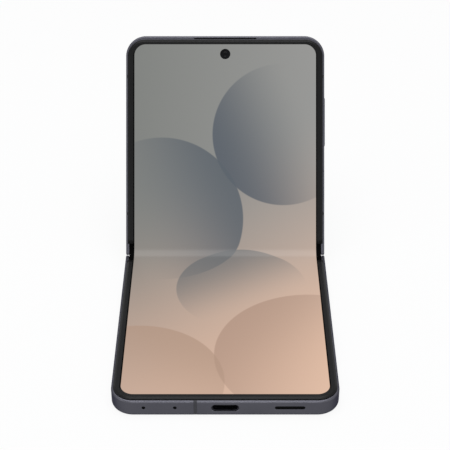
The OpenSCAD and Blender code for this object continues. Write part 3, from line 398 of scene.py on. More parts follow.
lens_glass, tree, shader = surface("coated lens glass", roughness=0.06, ior=1.6,
                                   specular_ior_level=0.07)
skin(tree, shader, "#040506", "#07080c", grain(tree, 2))
print("glasses made")

# %% [markdown]
# ## The frame
# Each half has a metal band on three sides. Its section is almost a rectangle: a broad round at
# the back, a smaller one at the front that draws a bright line, a lip on top that carries the
# soft rim, and a step inside for the back cover. The section is carried along a U: up one
# side, round a corner, across the end and back. Towards the hinge the band ends in a round
# about the fold axis, so that the two halves keep the same narrow gap while they turn past
# each other. The start of the U is therefore itself a function of the place in the section.

# %% Rail of a half's outline
FLANK_KNOTS = np.array([4.6, 9, 18, 30, 45, 60, 70])  # rings along a straight flank
CORNER_STEPS, END_STEPS = 24, 33
LEAST_RADIUS = 0.3


def rail(inset, end_inset, start):
    """A U-shaped rail for each point of a section. inset and end_inset say how far that point
    lies inside the flank and the end, start how far from the hinge line its side begins.
    Gives x and u as (section, rail) arrays: sides are straight, corners quarter circles."""
    inset, end_inset, start = (np.atleast_1d(np.asarray(v, float))[:, None]
                               for v in (inset, end_inset, start))
    w, e = BODY_W / 2 - inset, HALF_L - end_inset
    r = np.maximum(CORNER - (inset + end_inset) / 2, LEAST_RADIUS)
    t = np.linspace(0, np.pi / 2, CORNER_STEPS)[None, :]
    side = np.concatenate([start, FLANK_KNOTS[None, :] + 0 * start], 1)
    x = np.concatenate([w + 0 * side, w - r + r * np.cos(t)], 1)
    u = np.concatenate([side, e - r + r * np.sin(t)], 1)
    across = np.linspace(1, -1, END_STEPS)[None, 1:-1] * (w - r)
    return (np.concatenate([x, across, -x[:, ::-1]], 1),
            np.concatenate([u, e + 0 * across, u[:, ::-1]], 1))


print("the rail has", rail(0, 0, 0)[0].size, "points for each point of a section")

# %% [markdown]
# Carried along its rail, the section makes the band. Each cut end is rounded, so it can't be one
# flat face: rings that shrink towards the section's middle follow the round and close it.

# %% A section carried along the rail
CAP_SHARES = np.array([0.05, 0.25, 0.45, 0.62, 0.76, 0.87, 0.95])  # size of each ring


def band(name, half, inset, end_inset, z, start):
    """A closed section (inset, z) carried along the rail. Its cut ends are closed by rings that
    shrink towards the section's middle and take their own place from start(inset, z)."""
    inset, end_inset, z = (np.asarray(v, float) for v in (inset, end_inset, z))
    x, u = rail(inset, end_inset, start(inset, z))
    body = np.stack([x, u, z[:, None] + 0 * x], -1).transpose(1, 0, 2)
    share = CAP_SHARES[:, None]
    n = inset.mean() + (inset - inset.mean()) * share
    h = z.mean() + (z - z.mean()) * share
    cap = np.stack([BODY_W / 2 - n, start(n, h), h], -1)
    grid = np.concatenate([cap, body, cap[::-1] * (-1, 1, 1)])
    return solid(name, place(grid, half))


print("each cut end is closed by", len(CAP_SHARES), "rings")

# %% [markdown]
# The section is written as distances in from the flank and up from the back. At the end of the
# half the lip is wider and the wall thicker, so each point has a second distance there.

# %% Section of the frame and its round ends
FRONT_ROUND = 0.6
BACK_IN, BACK_UP = 0.85, 1.15  # half axes of the back edge's quarter ellipse
FRAME_START, EDGE_ROUND = 0.29, 0.4  # half the running gap, and the round at the cut's flank
COVER_RIM, COVER_T = 0.9, 0.6  # the step for the back cover
LIP_SIDE, LIP_END, LIP_DROP, LIP_DRAFT = 0.64, 0.78, 0.18, 0.02
SIDE_WALL, END_WALL = 1.2, 1.6


def quarter(radius, start, end, steps=9):
    """Cosine and sine of a part of a circle, in degrees, times its radius."""
    t = np.radians(np.linspace(start, end, steps))
    return radius * np.cos(t), radius * np.sin(t)


def fall(distance, radius):
    """How far a round of that radius has fallen back at a distance from its edge: r minus the
    root of r squared less (r - d) squared, and nothing beyond the radius."""
    d = np.clip(radius - distance, 0, radius)
    return radius - np.sqrt(radius * radius - d * d)


def frame_start(n, z):
    """The band's end: up to the axis' height a small gap to the hinge line, above it the
    circle about the axis, axis_u less the root of r squared less height squared; and a small
    round at the flank."""
    r, above = AXIS_U - FRAME_START, np.clip(z - AXIS_Z, 0, None)
    return AXIS_U - np.sqrt(r * r - above * above) + fall(n, EDGE_ROUND)


def frame_section(shrink=0.0):
    """Section of the band as insets from the flank and from the end, and heights. The back
    edge is a quarter of an ellipse, the front edge a quarter circle, and between them the side
    has points where the round ends need them. shrink draws the outside in."""
    bx, bz = quarter(1, 270, 180)
    fx, fz = quarter(FRONT_ROUND, 180, 90)
    step = np.linspace(0.4, 1, 5)
    outer_n = np.concatenate([BACK_IN * (1 + bx), 0 * step, FRONT_ROUND + fx]) + shrink
    outer_z = np.concatenate([BACK_UP * (1 + bz), AXIS_Z + (LIP - FRONT_ROUND - AXIS_Z) * step,
                              LIP - FRONT_ROUND + fz])
    inner_n = [LIP_SIDE, LIP_SIDE + LIP_DRAFT, SIDE_WALL, SIDE_WALL, COVER_RIM, COVER_RIM]
    inner_m = [LIP_END, LIP_END + LIP_DRAFT, END_WALL, END_WALL, COVER_RIM, COVER_RIM]
    inner_z = [LIP, LIP - LIP_DROP, LIP - LIP_DROP, COVER_T, COVER_T, 0]
    return (np.concatenate([outer_n, inner_n]), np.concatenate([outer_n, inner_m]),
            np.concatenate([outer_z, inner_z]))


print("the frame's section has", len(frame_section()[0]), "points")

# %% [markdown]
# Holes are cut with solids of their own. Port, speaker slot and keys share one outline, a
# rectangle with half-round ends, and so share one function. Its sections may grow towards the
# outside, which leaves the small chamfer that catches the light round each mouth.

# %% Stadium shapes
CUT_IN, CUT_OUT = 3, 1  # how far a cutter reaches into the metal and out of it


def opening(chamfer):
    """Insets and depths of a cutter that is straight inside and wider at the mouth."""
    return [0, 0, -chamfer, -chamfer], [-CUT_IN, -chamfer, 0, CUT_OUT]


def stadium(length, height, inset, depth, steps=14):
    """Grid of stadium outlines: one row for each pair of inset and depth. Gives the distance
    along the length, along the height and into the depth."""
    inset, depth = (np.asarray(v, float)[:, None] for v in (inset, depth))
    t = np.linspace(-np.pi / 2, np.pi / 2, steps)[None, :]
    r = height / 2 - inset
    a = (length - height) / 2 + r * np.cos(t)
    b = r * np.sin(t)
    a, b = np.concatenate([a, -a], 1), np.concatenate([b, -b], 1)
    return a, b, depth + 0 * a


def end_stadium(name, half, x, z, length, height, inset, depth):
    """A stadium that goes into the half's end: depth 0 is the end's face, and it grows out."""
    a, b, d = stadium(length, height, inset, depth)
    return solid(name, place(np.stack([x + a, HALF_L + d, z + b], -1), half))


def flank_stadium(name, side, u, z, length, height, inset, depth):
    """A stadium in the upper half's flank: side 1 is +X, depth 0 the flank's face."""
    a, b, d = stadium(length, height, inset, depth)
    return solid(name, place(np.stack([side * (BODY_W / 2 + d), u + a, z + b], -1), "upper"))


print("a stadium has", stadium(3, 1, [0], [0])[0].size, "points")

# %% [markdown]
# What is left is straight or round: a block for slots and slabs, and a turned shape for the
# microphone holes and everything round that comes later.

# %% Blocks and turned shapes
def block(name, half, low, high):
    """A plain block between two corners."""
    (x0, u0, z0), (x1, u1, z1) = low, high
    ring = np.array([[x0, 0, z0], [x1, 0, z0], [x1, 0, z1], [x0, 0, z1]], float)
    grid = np.stack([ring + (0, u0, 0), ring + (0, u1, 0)])
    return solid(name, place(grid, half))


def lathe(profile, centre, along, steps=48):
    """A profile of (radius, distance) turned round an axis through centre. along is 'z', down
    to up in the half, or 'u', towards its end. Gives a grid in the half's flat frame."""
    r, d = np.array(profile, float).T[:, :, None]
    t = np.linspace(0, 2 * np.pi, steps, endpoint=False)[None, :]
    a, b, c = r * np.cos(t), r * np.sin(t), d + 0 * t
    return np.stack([a, b, c] if along == "z" else [a, c, b], -1) + np.array(centre, float)


def end_round(name, half, x, z, radius, inset, depth):
    """A round rod that goes into the half's end, with one ring for each inset and depth."""
    profile = [(radius - i, d) for i, d in zip(inset, depth)]
    return solid(name, place(lathe(profile, (x, HALF_L, z), "u", 24), half))


print("a turned rod of two rings has", lathe([(1, 0), (1, 1)], (0, 0, 0), "u").size // 3, "points")

# %% [markdown]
# The places of all openings are set here once. Port, keys and tray lie on one middle line; the
# speaker slot and the microphone holes lie a little above it. The frame is split for the
# antennas by slabs that go right through the band.

# %% Where the openings lie
# In names, _X, _U and _Z are middles, _W, _H and _L sizes across, up and along, _R a radius.
PORT_Z = 3.25
SHELL_ROOM_W, SHELL_ROOM_H = 9.06, 3.28
MOUTH_W, MOUTH_H, MOUTH_LIP, MOUTH_CHAMFER = 8.8, 2.72, 0.16, 0.2
SPEAKER_X, SPEAKER_W, SPEAKER_H = 21.1, 9.9, 1.3
MIC_X, MIC_R = (-26.6, -16.4), 0.6
HOLE_Z, HOLE_EDGE = PORT_Z + 0.15, 0.05
TOP_MIC_X, TOP_MIC_Z, TOP_MIC_R = -9.6, 4.25, 0.5
EARPIECE_W, EARPIECE_H, EARPIECE_INSET, EARPIECE_DEPTH = 23.6, 0.5, 0.65, 1.5
KEY_H, KEY_GAP, KEY_CHAMFER = 2.0, 0.1, 0.05
KEYS = {"volume": (50.9, 18.4, 0.32), "side": (26.8, 13.1, 0.13)}  # middle, length, rise
TRAY_U, TRAY_L, TRAY_CHAMFER = 56, 15, 0.04
ANTENNA_U, ANTENNA_X, ANTENNA_W, ANTENNA_DEPTH = (16, 68.05), -9.75, 1.15, 1.15
SLAB_LOW, SLAB_HIGH, SLAB_OUT = -1, 8, 2


def antenna_slabs(half, ends):
    """Slabs that cross the band where it is split for the antennas: at each ANTENNA_U on both
    flanks, and at each x of ends across the half's end."""
    w = ANTENNA_W / 2
    flanks = [sorted((s * (BODY_W / 2 - ANTENNA_DEPTH), s * BODY_W)) for s in (-1, 1)]
    slabs = [block("slab", half, (x0, u - w, SLAB_LOW), (x1, u + w, SLAB_HIGH))
             for u in ANTENNA_U for x0, x1 in flanks]
    return slabs + [block("slab", half, (x - w, HALF_L - ANTENNA_DEPTH, SLAB_LOW),
                          (x + w, HALF_L + SLAB_OUT, SLAB_HIGH)) for x in ends]


print("openings: port,", len(MIC_X), "microphones, speaker, earpiece,", len(KEYS), "keys, tray")

# %% Lower frame with its port, speaker slot and microphones
lower_band = band("lower_band", "lower", *frame_section(), frame_start)
holes = [
    end_stadium("shell_cut", "lower", 0, PORT_Z, SHELL_ROOM_W, SHELL_ROOM_H,
                [0, 0], [-CUT_IN, -MOUTH_LIP]),
    end_stadium("mouth_cut", "lower", 0, PORT_Z, MOUTH_W, MOUTH_H, *opening(MOUTH_CHAMFER)),
    end_stadium("speaker_cut", "lower", SPEAKER_X, HOLE_Z, SPEAKER_W, SPEAKER_H,
                *opening(HOLE_EDGE)),
    *(end_round("mic_cut", "lower", x, HOLE_Z, MIC_R, *opening(HOLE_EDGE)) for x in MIC_X),
    *antenna_slabs("lower", [ANTENNA_X]),
]
carve(lower_band, holes)
finish_piece(lower_band, anodised, "lower_half", "aluminium_frame", "lower_frame")

# %% [markdown]
# The upper frame is the same band with other holes: two key slots in one flank, the card tray's
# in the other, a microphone hole in its end, and a slot for the earpiece where the metal's front
# edge meets the rim. Slots are wider than what moves in them by the same small gap all round.

# %% Upper frame with its earpiece slot, keys and card tray
upper_band = band("upper_band", "upper", *frame_section(), frame_start)
holes = [
    *(flank_stadium("key_cut", 1, u, PORT_Z, length + 2 * KEY_GAP, KEY_H + 2 * KEY_GAP,
                    *opening(KEY_CHAMFER)) for u, length, rise in KEYS.values()),
    flank_stadium("tray_cut", -1, TRAY_U, PORT_Z, TRAY_L + 2 * KEY_GAP, KEY_H + 2 * KEY_GAP,
                  *opening(TRAY_CHAMFER)),
    block("earpiece_cut", "upper",
          (-EARPIECE_W / 2, HALF_L - EARPIECE_INSET - EARPIECE_H, LIP - EARPIECE_DEPTH),
          (EARPIECE_W / 2, HALF_L - EARPIECE_INSET, HALF_T)),
    end_round("mic_cut", "upper", TOP_MIC_X, TOP_MIC_Z, TOP_MIC_R, [0, 0], [-CUT_IN, CUT_OUT]),
    *antenna_slabs("upper", []),
]
carve(upper_band, holes)
finish_piece(upper_band, anodised, "upper_half", "aluminium_frame", "upper_frame")

# %% [markdown]
# The antenna lines are the band itself where the slabs cross it, cut from a copy that is a
# hair smaller, so that the nylon lies just under the metal as it does after machining.

# %% Antenna lines
LINE_UNDER = 0.015
for half, ends in (("lower", [ANTENNA_X]), ("upper", [])):
    slabs = joined("slabs", antenna_slabs(half, ends))
    lines = band(f"{half}_lines", half, *frame_section(LINE_UNDER), frame_start)
    carve(lines, [slabs], "INTERSECT")
    finish_piece(lines, antenna_nylon, f"{half}_half", "antenna_plastic", f"{half}_antenna_lines")

# %% [markdown]
# ## The soft rim
# A raised elastomer rim keeps the two halves of the screen apart when the phone is shut. It
# stands on the lip. Its outer face slopes, so that the ends mirror the lamp above and look
# grey, while the sides stay nearly black. Over a round crown it falls to the film and covers
# the edge of the screen. It stops short of the fold, with a rounded outer corner, because it
# could not bend there.

# %% Sizes of the rim and of the print beside it
RIM_TOP, RIM_START = 6.70, 5.7  # height of the crown, and distance from the hinge line
RIM_SIDE, RIM_END = 0.68, {"lower": 0.95, "upper": 1.40}  # outer foot from flank and end
RIM_SLOPE, RIM_FACE = 28, 0.62  # the outer face's rise in degrees, and its width
FOOT_R, CROWN_R, TOE_R = 0.15, 0.7, 0.12  # rounds from outside to inside
SHOULDER_IN, SHOULDER_DROP = 0.30, 0.06  # where the crown starts to fall to the film
RIM_SEAT, FILM_GAP = 0.15, 0.005  # underside below the lip's edge, and above the film
STEP_SIDE, STEP_END = 1.35, 1.65  # the underside's step, just outside the screen's edge
CUT_CORNER, CUT_EDGE, CUT_EDGE_SHARE = 1.1, 0.3, 0.6  # rounds of the rim's cut ends
MARGIN_SIDE, MARGIN_END, LIT_CORNER = 3.23, 3.25, 4.3  # lit area from flank and end, its corner
BORDER_SIDE, BORDER_END = 0.38, {"lower": 0.7, "upper": 0.38}  # black print beside the lit area
print(f"rim {MARGIN_SIDE - BORDER_SIDE - RIM_SIDE:.2f} mm wide, {RIM_TOP - HALF_T:.2f} mm proud")

# %% [markdown]
# The rim is another band, so it needs only a section and a start of its own. Its section is a
# chain of rounds and straight pieces, each of which begins where the last one ends.

# %% Rims of both halves
def rim_start(n, z):
    """The rim's cut end: a quarter circle at its outer corner, and a shallower one along its
    top edge."""
    return RIM_START + fall(n - RIM_SIDE, CUT_CORNER) + CUT_EDGE_SHARE * fall(RIM_TOP - z, CUT_EDGE)


def rim_section(half):
    """Outer wall, a small round, a sloping face, a broad round to the crown, a fall down to the
    screen with a small round at its foot, and the underside, which steps over the edge of the
    screen. The face is a straight piece between two circles, along their common tangent."""
    foot = np.stack(quarter(FOOT_R, 180, 90 + RIM_SLOPE, 5)) + [[FOOT_R], [0]]
    crown = np.stack(quarter(CROWN_R, 90 + RIM_SLOPE, 90, 6))
    along_face = np.stack(quarter(RIM_FACE, RIM_SLOPE, RIM_SLOPE, 1))
    outer = np.concatenate([foot, crown + foot[:, -1:] + along_face - crown[:, :1]], 1)
    toe_n, toe_z = quarter(TOE_R, 80, 8, 6)
    back = np.concatenate([[SHOULDER_IN], TOE_R - toe_n, [0]])
    under_z = [HALF_T + FILM_GAP, HALF_T + FILM_GAP, LIP - RIM_SEAT]
    z = np.concatenate([[LIP - RIM_SEAT], RIM_TOP - outer[1, -1] + outer[1],
                        [RIM_TOP - SHOULDER_DROP], HALF_T + toe_z, under_z])
    insets = []
    for start, edge, under in (
            (RIM_SIDE, MARGIN_SIDE - BORDER_SIDE, STEP_SIDE),
            (RIM_END[half], MARGIN_END - BORDER_END[half], STEP_END)):
        insets.append(np.concatenate([[start], start + outer[0], edge - back, [under, under]]))
    return *insets, z


for half in ("lower", "upper"):
    rim = band(f"{half}_rim", half, *rim_section(half), rim_start)
    finish_piece(rim, elastomer, f"{half}_half", "rim_plastic", f"{half}_bezel")

# %% [markdown]
# ## The folding screen
# The screen is one thin laminate, bonded to a plate in each half and free over the hinge. Over
# the hinge it takes the gentlest bend there is room for: an arc that leaves one half's plane
# and reaches the crease at half the fold, where the other half's arc meets it. The flat length
# up to the arc is twice the axis' distance, because the crease is the hinge line turned about
# the axis. Its edge is printed black from behind, and the rest is lit.

# %% The fold as an arc
ARC_U = 2 * AXIS_U
ARC_R = AXIS_U / math.tan(HALF_FOLD / 2) - (HALF_T - AXIS_Z)


def folded(flat):
    """Flat (x, u, z) with what lies before ARC_U laid on an arc: the place along the arc is
    1 - u / ARC_U of half the fold, and the distance from its centre is ARC_R + HALF_T - z."""
    a = HALF_FOLD * np.clip(1 - flat[..., 1] / ARC_U, 0, 1)
    r = ARC_R + HALF_T - flat[..., 2]
    return np.stack([flat[..., 0], np.maximum(flat[..., 1], ARC_U) - r * np.sin(a),
                     ARC_R + HALF_T - r * np.cos(a)], -1)


print(f"the fold is an arc of {ARC_R:.2f} mm radius, {ARC_U:.2f} mm long on each half")

# %% [markdown]
# Each half of the screen is a sheet of rows across the phone, close together on the arc and in
# the corners, where the shape changes. It carries its flat lengths as a UV map.

# %% Sheet of one half
PANEL_SIDE, PANEL_END, PANEL_T = 1.4, 1.7, 0.5  # its edge from flank and end, its thickness
LIT_SIDE, LIT_END = BODY_W / 2 - MARGIN_SIDE, HALF_L - MARGIN_END
BEND_U = ARC_U + 0.6  # a point a little past the arc, handed back with each sheet
ARC_ROWS, STRAIGHT_ROWS, CORNER_ROWS, LIT_COLUMNS = 25, 15, 24, 23
STRAIGHT_FROM, STRAIGHT_SHORT = 5, 4  # from the hinge line, and short of the corner
LEAST_BORDER = 0.2  # width of the outer column where the corner cuts in
UV_SPAN = 100  # millimetres that one unit of the UV map stands for


def screen_sheet(half):
    """Rows across the half from the crease to its end; each row is a flat ring, top and then
    underside, as wide as the outline is there. The two end corners are quarter circles. The
    outer column on each side is the printed border."""
    e, r = HALF_L - PANEL_END, CORNER - PANEL_END
    bend = ARC_U * np.linspace(0, 1, ARC_ROWS)
    straight = np.linspace(STRAIGHT_FROM, e - r - STRAIGHT_SHORT, STRAIGHT_ROWS)
    corner = e - r + r * np.sin(np.linspace(0, np.pi / 2, CORNER_ROWS))
    rows = np.concatenate([bend, straight, corner])
    past = np.clip(rows - (e - r), 0, r)
    w = BODY_W / 2 - PANEL_SIDE - r + np.sqrt(np.maximum(r * r - past ** 2, 0))
    lit = np.minimum(LIT_SIDE, w - LEAST_BORDER)[:, None] * np.linspace(-1, 1, LIT_COLUMNS)
    across = np.concatenate([-w[:, None], lit, w[:, None]], 1)
    top = np.stack([across, rows[:, None] + 0 * across, HALF_T + 0 * across], -1)
    flat = np.concatenate([top, top[:, ::-1] - (0, 0, PANEL_T)], 1)
    sign = 1 if half == "upper" else -1
    uv = np.stack([flat[..., 0], sign * flat[..., 1]], -1) / UV_SPAN
    sheet = solid(f"{half}_screen", place(folded(flat), half), uv=uv, smooth=SMOOTH_SCREEN)
    ends = folded(np.array([(0, BEND_U, HALF_T), (0, 0, HALF_T)]))
    return sheet, *place(ends, half)


print("rows in a sheet:", ARC_ROWS + STRAIGHT_ROWS + CORNER_ROWS)

# %% [markdown]
# The border is printed in black behind the film. It is the same mesh with a second material, so
# film and print can't part at the fold.

# %% Printed border
def print_border(sheet, half, material):
    """Gives the border's material to each face outside the lit width, and to each that doesn't
    look out of the front: its normal times the half's own upward direction is below 0.5."""
    up = (place((0, 0, 1), half) - place((0, 0, 0), half)) / MM
    centre, normal = np.zeros((2, len(sheet.data.polygons) * 3))
    sheet.data.polygons.foreach_get("center", centre)
    sheet.data.polygons.foreach_get("normal", normal)
    dark = (np.abs(centre[::3]) > LIT_SIDE * MM) | (normal.reshape(-1, 3) @ up < 0.5)
    sheet.data.materials.append(material)
    sheet.data.polygons.foreach_set("material_index", dark.astype(np.int32))


print(f"print from {LIT_SIDE:.2f} mm outwards")

# %% [markdown]
# The picture on the screen is a plain design of its own: a ground that warms from grey-green
# at the top to peach at the bottom, and a few large overlapping discs, each dark along one
# side of its edge and fading out inwards. The screen glows with it, at the strength at which a
# colour looks as it is written, under a clear film with a soft gloss. The two lengths of the
# UV map are real ones, across the phone and along the unfolded screen, so the discs run over
# the crease.

# %% Film and ground of the picture
GROUND = {"top": ("#7d7f7c", "#949492"), "bottom": ("#c6a895", "#ddb9a1")}  # left and right edge
WARM_FROM, WARM_TO, WARM_LEAN = 44.0, -78.0, -0.45

screen_film, tree, shader = surface("clear film over a lit display", roughness=0.28, ior=1.5,
                                    specular_ior_level=0.2, emission_strength=1.0)
shader.inputs["Base Color"].default_value = srgb("#050506")
flat_map = add(tree, "ShaderNodeUVMap", uv_map="flat").outputs[0]
where = add(tree, "ShaderNodeVectorMath", {0: flat_map, 1: (UV_SPAN, UV_SPAN, 0)},
            operation="MULTIPLY").outputs[0]
axes = add(tree, "ShaderNodeSeparateXYZ", {0: where})
sideways = add(tree, "ShaderNodeMapRange", {"Value": axes.outputs[0], "From Min": -LIT_SIDE,
                                            "From Max": LIT_SIDE}).outputs[0]
tilted = add(tree, "ShaderNodeVectorMath", {0: where, 1: (WARM_LEAN, 1, 0)},
             operation="DOT_PRODUCT").outputs["Value"]
warmth = add(tree, "ShaderNodeMapRange", {"Value": tilted, "From Min": WARM_FROM,
                                          "From Max": WARM_TO},
             interpolation_type="SMOOTHSTEP").outputs[0]
ends = [add(tree, "ShaderNodeMix", {"Factor": sideways, "A": srgb(left), "B": srgb(right)},
            data_type="RGBA").outputs["Result"] for left, right in GROUND.values()]
picture = add(tree, "ShaderNodeMix", {"Factor": warmth, "A": ends[0], "B": ends[1]},
              data_type="RGBA").outputs["Result"]
print("ground of", len(GROUND) * 2, "colours")

# %% [markdown]
# A disc is where the distance from its centre is below its radius. It is dark on one side, so
# its strength rises smoothly along that direction, from half a radius behind the centre.

# %% Discs on the ground
DISCS = [  # centre across and along, radius, direction of the dark side in degrees, colour, strength
    (22, 46, 27, 205, "#515963", 0.9), (-24, 14, 31, 20, "#565e66", 0.9),
    (6, -22, 24, 120, "#66696b", 0.75), (30, -60, 34, 150, "#aa8b79", 0.7),
    (-30, -74, 30, 60, "#ad8f7b", 0.7),
]
DISC_EDGE, FADE_BEHIND = 0.4, 0.5

for across, along, radius, degrees, code, strength in DISCS:
    arm = add(tree, "ShaderNodeVectorMath", {0: where, 1: (across, along, 0)}, operation="SUBTRACT")
    far = add(tree, "ShaderNodeVectorMath", {0: arm.outputs[0]}, operation="LENGTH").outputs["Value"]
    inside = add(tree, "ShaderNodeMapRange", {"Value": far, "From Min": radius,
                                              "From Max": radius - DISC_EDGE}).outputs[0]
    dark_way = (math.cos(math.radians(degrees)), math.sin(math.radians(degrees)), 0)
    lean = add(tree, "ShaderNodeVectorMath", {0: arm.outputs[0], 1: dark_way},
               operation="DOT_PRODUCT").outputs["Value"]
    shade = add(tree, "ShaderNodeMapRange", {"Value": lean, "From Min": -FADE_BEHIND * radius,
                                             "From Max": radius, "To Max": strength},
                interpolation_type="SMOOTHSTEP").outputs[0]
    share = add(tree, "ShaderNodeMath", {0: inside, 1: shade}, operation="MULTIPLY").outputs[0]
    picture = add(tree, "ShaderNodeMix", {"Factor": share, "A": picture, "B": srgb(code)},
                  data_type="RGBA").outputs["Result"]
print("discs on the picture:", len(DISCS))

# %% [markdown]
# The lit area is a rectangle with round corners: what lies past the corners' centres, in both
# directions at once, must be nearer than the corner's radius. Beyond it the screen is black.

# %% Black round the lit area
LIT_EDGE = 0.03
beyond = add(tree, "ShaderNodeVectorMath", {0: where}, operation="ABSOLUTE").outputs[0]
for operation, corner in (("SUBTRACT", (LIT_SIDE - LIT_CORNER, LIT_END - LIT_CORNER, 0)),
                          ("MAXIMUM", (0, 0, 0))):
    beyond = add(tree, "ShaderNodeVectorMath", {0: beyond, 1: corner}, operation=operation).outputs[0]
beyond = add(tree, "ShaderNodeVectorMath", {0: beyond}, operation="LENGTH").outputs["Value"]
lit = add(tree, "ShaderNodeMapRange", {"Value": beyond, "From Min": LIT_CORNER + LIT_EDGE,
                                       "From Max": LIT_CORNER - LIT_EDGE}).outputs[0]
picture = add(tree, "ShaderNodeMix", {"Factor": lit, "A": srgb("#000000"), "B": picture},
              data_type="RGBA").outputs["Result"]
tree.links.new(picture, shader.inputs["Emission Color"])
print(f"lit area {2 * LIT_SIDE:.1f} x {2 * LIT_END:.1f} mm")

# %% [markdown]
# The upper half has a punched hole for the camera. Each half of the screen is baked in place as
# it lies at rest, and rides on no body.

# %% Both halves of the screen
CAMERA_U, CAMERA_R = HALF_L - 6.9, 1.95
PUNCH = 1.5  # how far the punch reaches to either side of the film
for half in ("lower", "upper"):
    sheet, begin, crease = screen_sheet(half)
    if half == "upper":
        through = [(CAMERA_R, HALF_T - PUNCH), (CAMERA_R, HALF_T + PUNCH)]
        hole = solid("hole", place(lathe(through, (0, CAMERA_U, 0), "z", 64), half))
        carve(sheet, [hole], smooth=SMOOTH_SCREEN)
    finish_piece(sheet, screen_film, None, "screen", f"{half}_display_panel", f"{half}_display_fold")
    print_border(sheet, half, border_print)
    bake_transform(sheet)

# %% [markdown]
# ## Cameras
# A camera window is a stack of rings, so it is turned on a lathe in thought: a profile of
# radius and height goes round an axis. The front one sits in the hole of the screen, the two
# at the back stand proud in machined rings with a chamfer. The low steps in each window are
# the edges of the lenses behind the glass, which draw thin bright circles.

# %% Front camera window and rear cameras
FRONT_WINDOW = [  # radius and height, from the underside to the middle of the dome
    (1.93, 6.27), (1.93, 6.44), (1.90, 6.47), (1.25, 6.47), (1.12, 6.36), (0.95, 6.34),
    (0.90, 6.36), (0.62, 6.42), (0.32, 6.45), (0.05, 6.46)]
RING = [  # a closed profile: outer wall, rounded front, inner chamfer, and the tube behind it
    (6.30, 0.0), (6.30, -0.72), (6.24, -0.84), (6.10, -0.95), (5.98, -1.0), (5.32, -1.0),
    (5.18, -0.96), (4.98, -0.74), (4.92, -0.66), (4.92, 1.6), (5.7, 1.6), (5.7, 0.0)]
WINDOW = [  # from the edge behind the glass to its middle, over the steps of the lenses
    (4.86, -0.30), (4.86, -0.58), (4.82, -0.62), (3.05, -0.62), (2.90, -0.60), (2.62, -0.42),
    (2.20, -0.38), (2.14, -0.40), (1.86, -0.34), (1.72, -0.36), (1.30, -0.46), (0.80, -0.54),
    (0.30, -0.57), (0.04, -0.575)]
REAR_X, REAR_U = (27.1, 11.6), HALF_L - 10.5

front_window = solid("front_camera_window",
                     place(lathe(FRONT_WINDOW, (0, CAMERA_U, 0), "z", 64), "upper"))
finish_piece(front_window, lens_glass, "upper_half", "lens_glass")
rings = joined("camera_ring_pair", [
    solid("ring", place(lathe(RING, (x, REAR_U, 0), "z", 96), "upper"), closed=True)
    for x in REAR_X])
finish_piece(rings, anodised, "upper_half", "aluminium_frame", "camera_rings")
windows = joined("camera_window_pair", [
    solid("window", place(lathe(WINDOW, (x, REAR_U, 0), "z", 96), "upper")) for x in REAR_X])
finish_piece(windows, lens_glass, "upper_half", "lens_glass", "camera_glasses")

# %% [markdown]
# ## The port
# The frame's opening for the plug is a little smaller than the connector's shell, so a thin lip
# of metal stands in front of it. The shell is a stadium cup with a rolled mouth, and inside it
# a thin tongue carries the contacts. Both are stacks of stadiums: the cup's stack turns round
# at its mouth and runs back in.

# %% Connector
SHELL_W, SHELL_H = 8.94, 3.16
TONGUE_W, TONGUE_H = 6.7, 0.7
PAD_FROM, PAD_TO, PAD_SPAN, PAD_HALF_W, PAD_HALF_T = -5.5, -2.1, 2.75, 0.13, 0.03

# The shell's near-black colour is painted shade: the steel is pale, and the port's depth is painted
# into it.
shell = end_stadium("port_shell", "lower", 0, PORT_Z, SHELL_W, SHELL_H,
                    [0, 0, 0.02, 0.05, 0.16, 0.22, 0.3, 0.3],
                    [-7.8, -0.56, -0.52, -0.5, -0.5, -0.52, -0.6, -7.5])
finish_piece(shell, steel_dark_for_port_shade, "lower_half", "steel", "usb_c_shell")
tongue = end_stadium("port_tongue", "lower", 0, PORT_Z, TONGUE_W, TONGUE_H,
                     [0, 0, 0.06, 0.15], [-7.49, -1.95, -1.78, -1.7])
finish_piece(tongue, port_nylon, "lower_half", "black_plastic", "usb_c_tongue")
pads = joined("port_contacts", [
    block("pad", "lower", (x - PAD_HALF_W, HALF_L + PAD_FROM, z - PAD_HALF_T),
          (x + PAD_HALF_W, HALF_L + PAD_TO, z + PAD_HALF_T))
    for x in np.linspace(-PAD_SPAN, PAD_SPAN, 12)
    for z in (PORT_Z - TONGUE_H / 2, PORT_Z + TONGUE_H / 2)])
finish_piece(pads, ground_steel, "lower_half", "steel")

# %% [markdown]
# Behind the speaker slot and the microphone holes lies a fine woven mesh against dust, set back
# by the thickness of its frame. From outside it is a dark floor in the hole, so it is a plug
# with a small edge.

# %% Fine meshes just inside the speaker slot and the microphone holes
NET_FACE, NET_BACK, NET_EDGE = -0.3, -1.2, 0.04
net_stack = [0, 0, NET_EDGE], [NET_BACK, NET_FACE - NET_EDGE, NET_FACE]
nets = joined("end_meshes", [
    end_stadium("slot_mesh", "lower", SPEAKER_X, HOLE_Z, SPEAKER_W, SPEAKER_H, *net_stack),
    *(end_round("mic_mesh", "lower", x, HOLE_Z, MIC_R, *net_stack) for x in MIC_X)])
finish_piece(nets, acoustic_mesh, "lower_half", "black_plastic")

# %% [markdown]
# ## Keys
# A key is one solid too: a broad collar that keeps it in the frame, and a cap that goes through
# the slot and ends in a rounded edge. The volume key stands proud, the side key hardly at all.

# %% Volume key and side key
COLLAR, COLLAR_BACK, COLLAR_FRONT = -0.4, -2.35, -1.95
for name, (u, length, rise) in KEYS.items():
    key = flank_stadium(f"{name}_button", 1, u, PORT_Z, length, KEY_H,
                        [COLLAR, COLLAR, 0, 0, 0.03, 0.1, 0.22],
                        [COLLAR_BACK, COLLAR_FRONT, COLLAR_FRONT, rise - 0.2, rise - 0.09,
                         rise - 0.02, rise])
    finish_piece(key, anodised, f"{name}_key", "aluminium_frame", f"{name}_key")

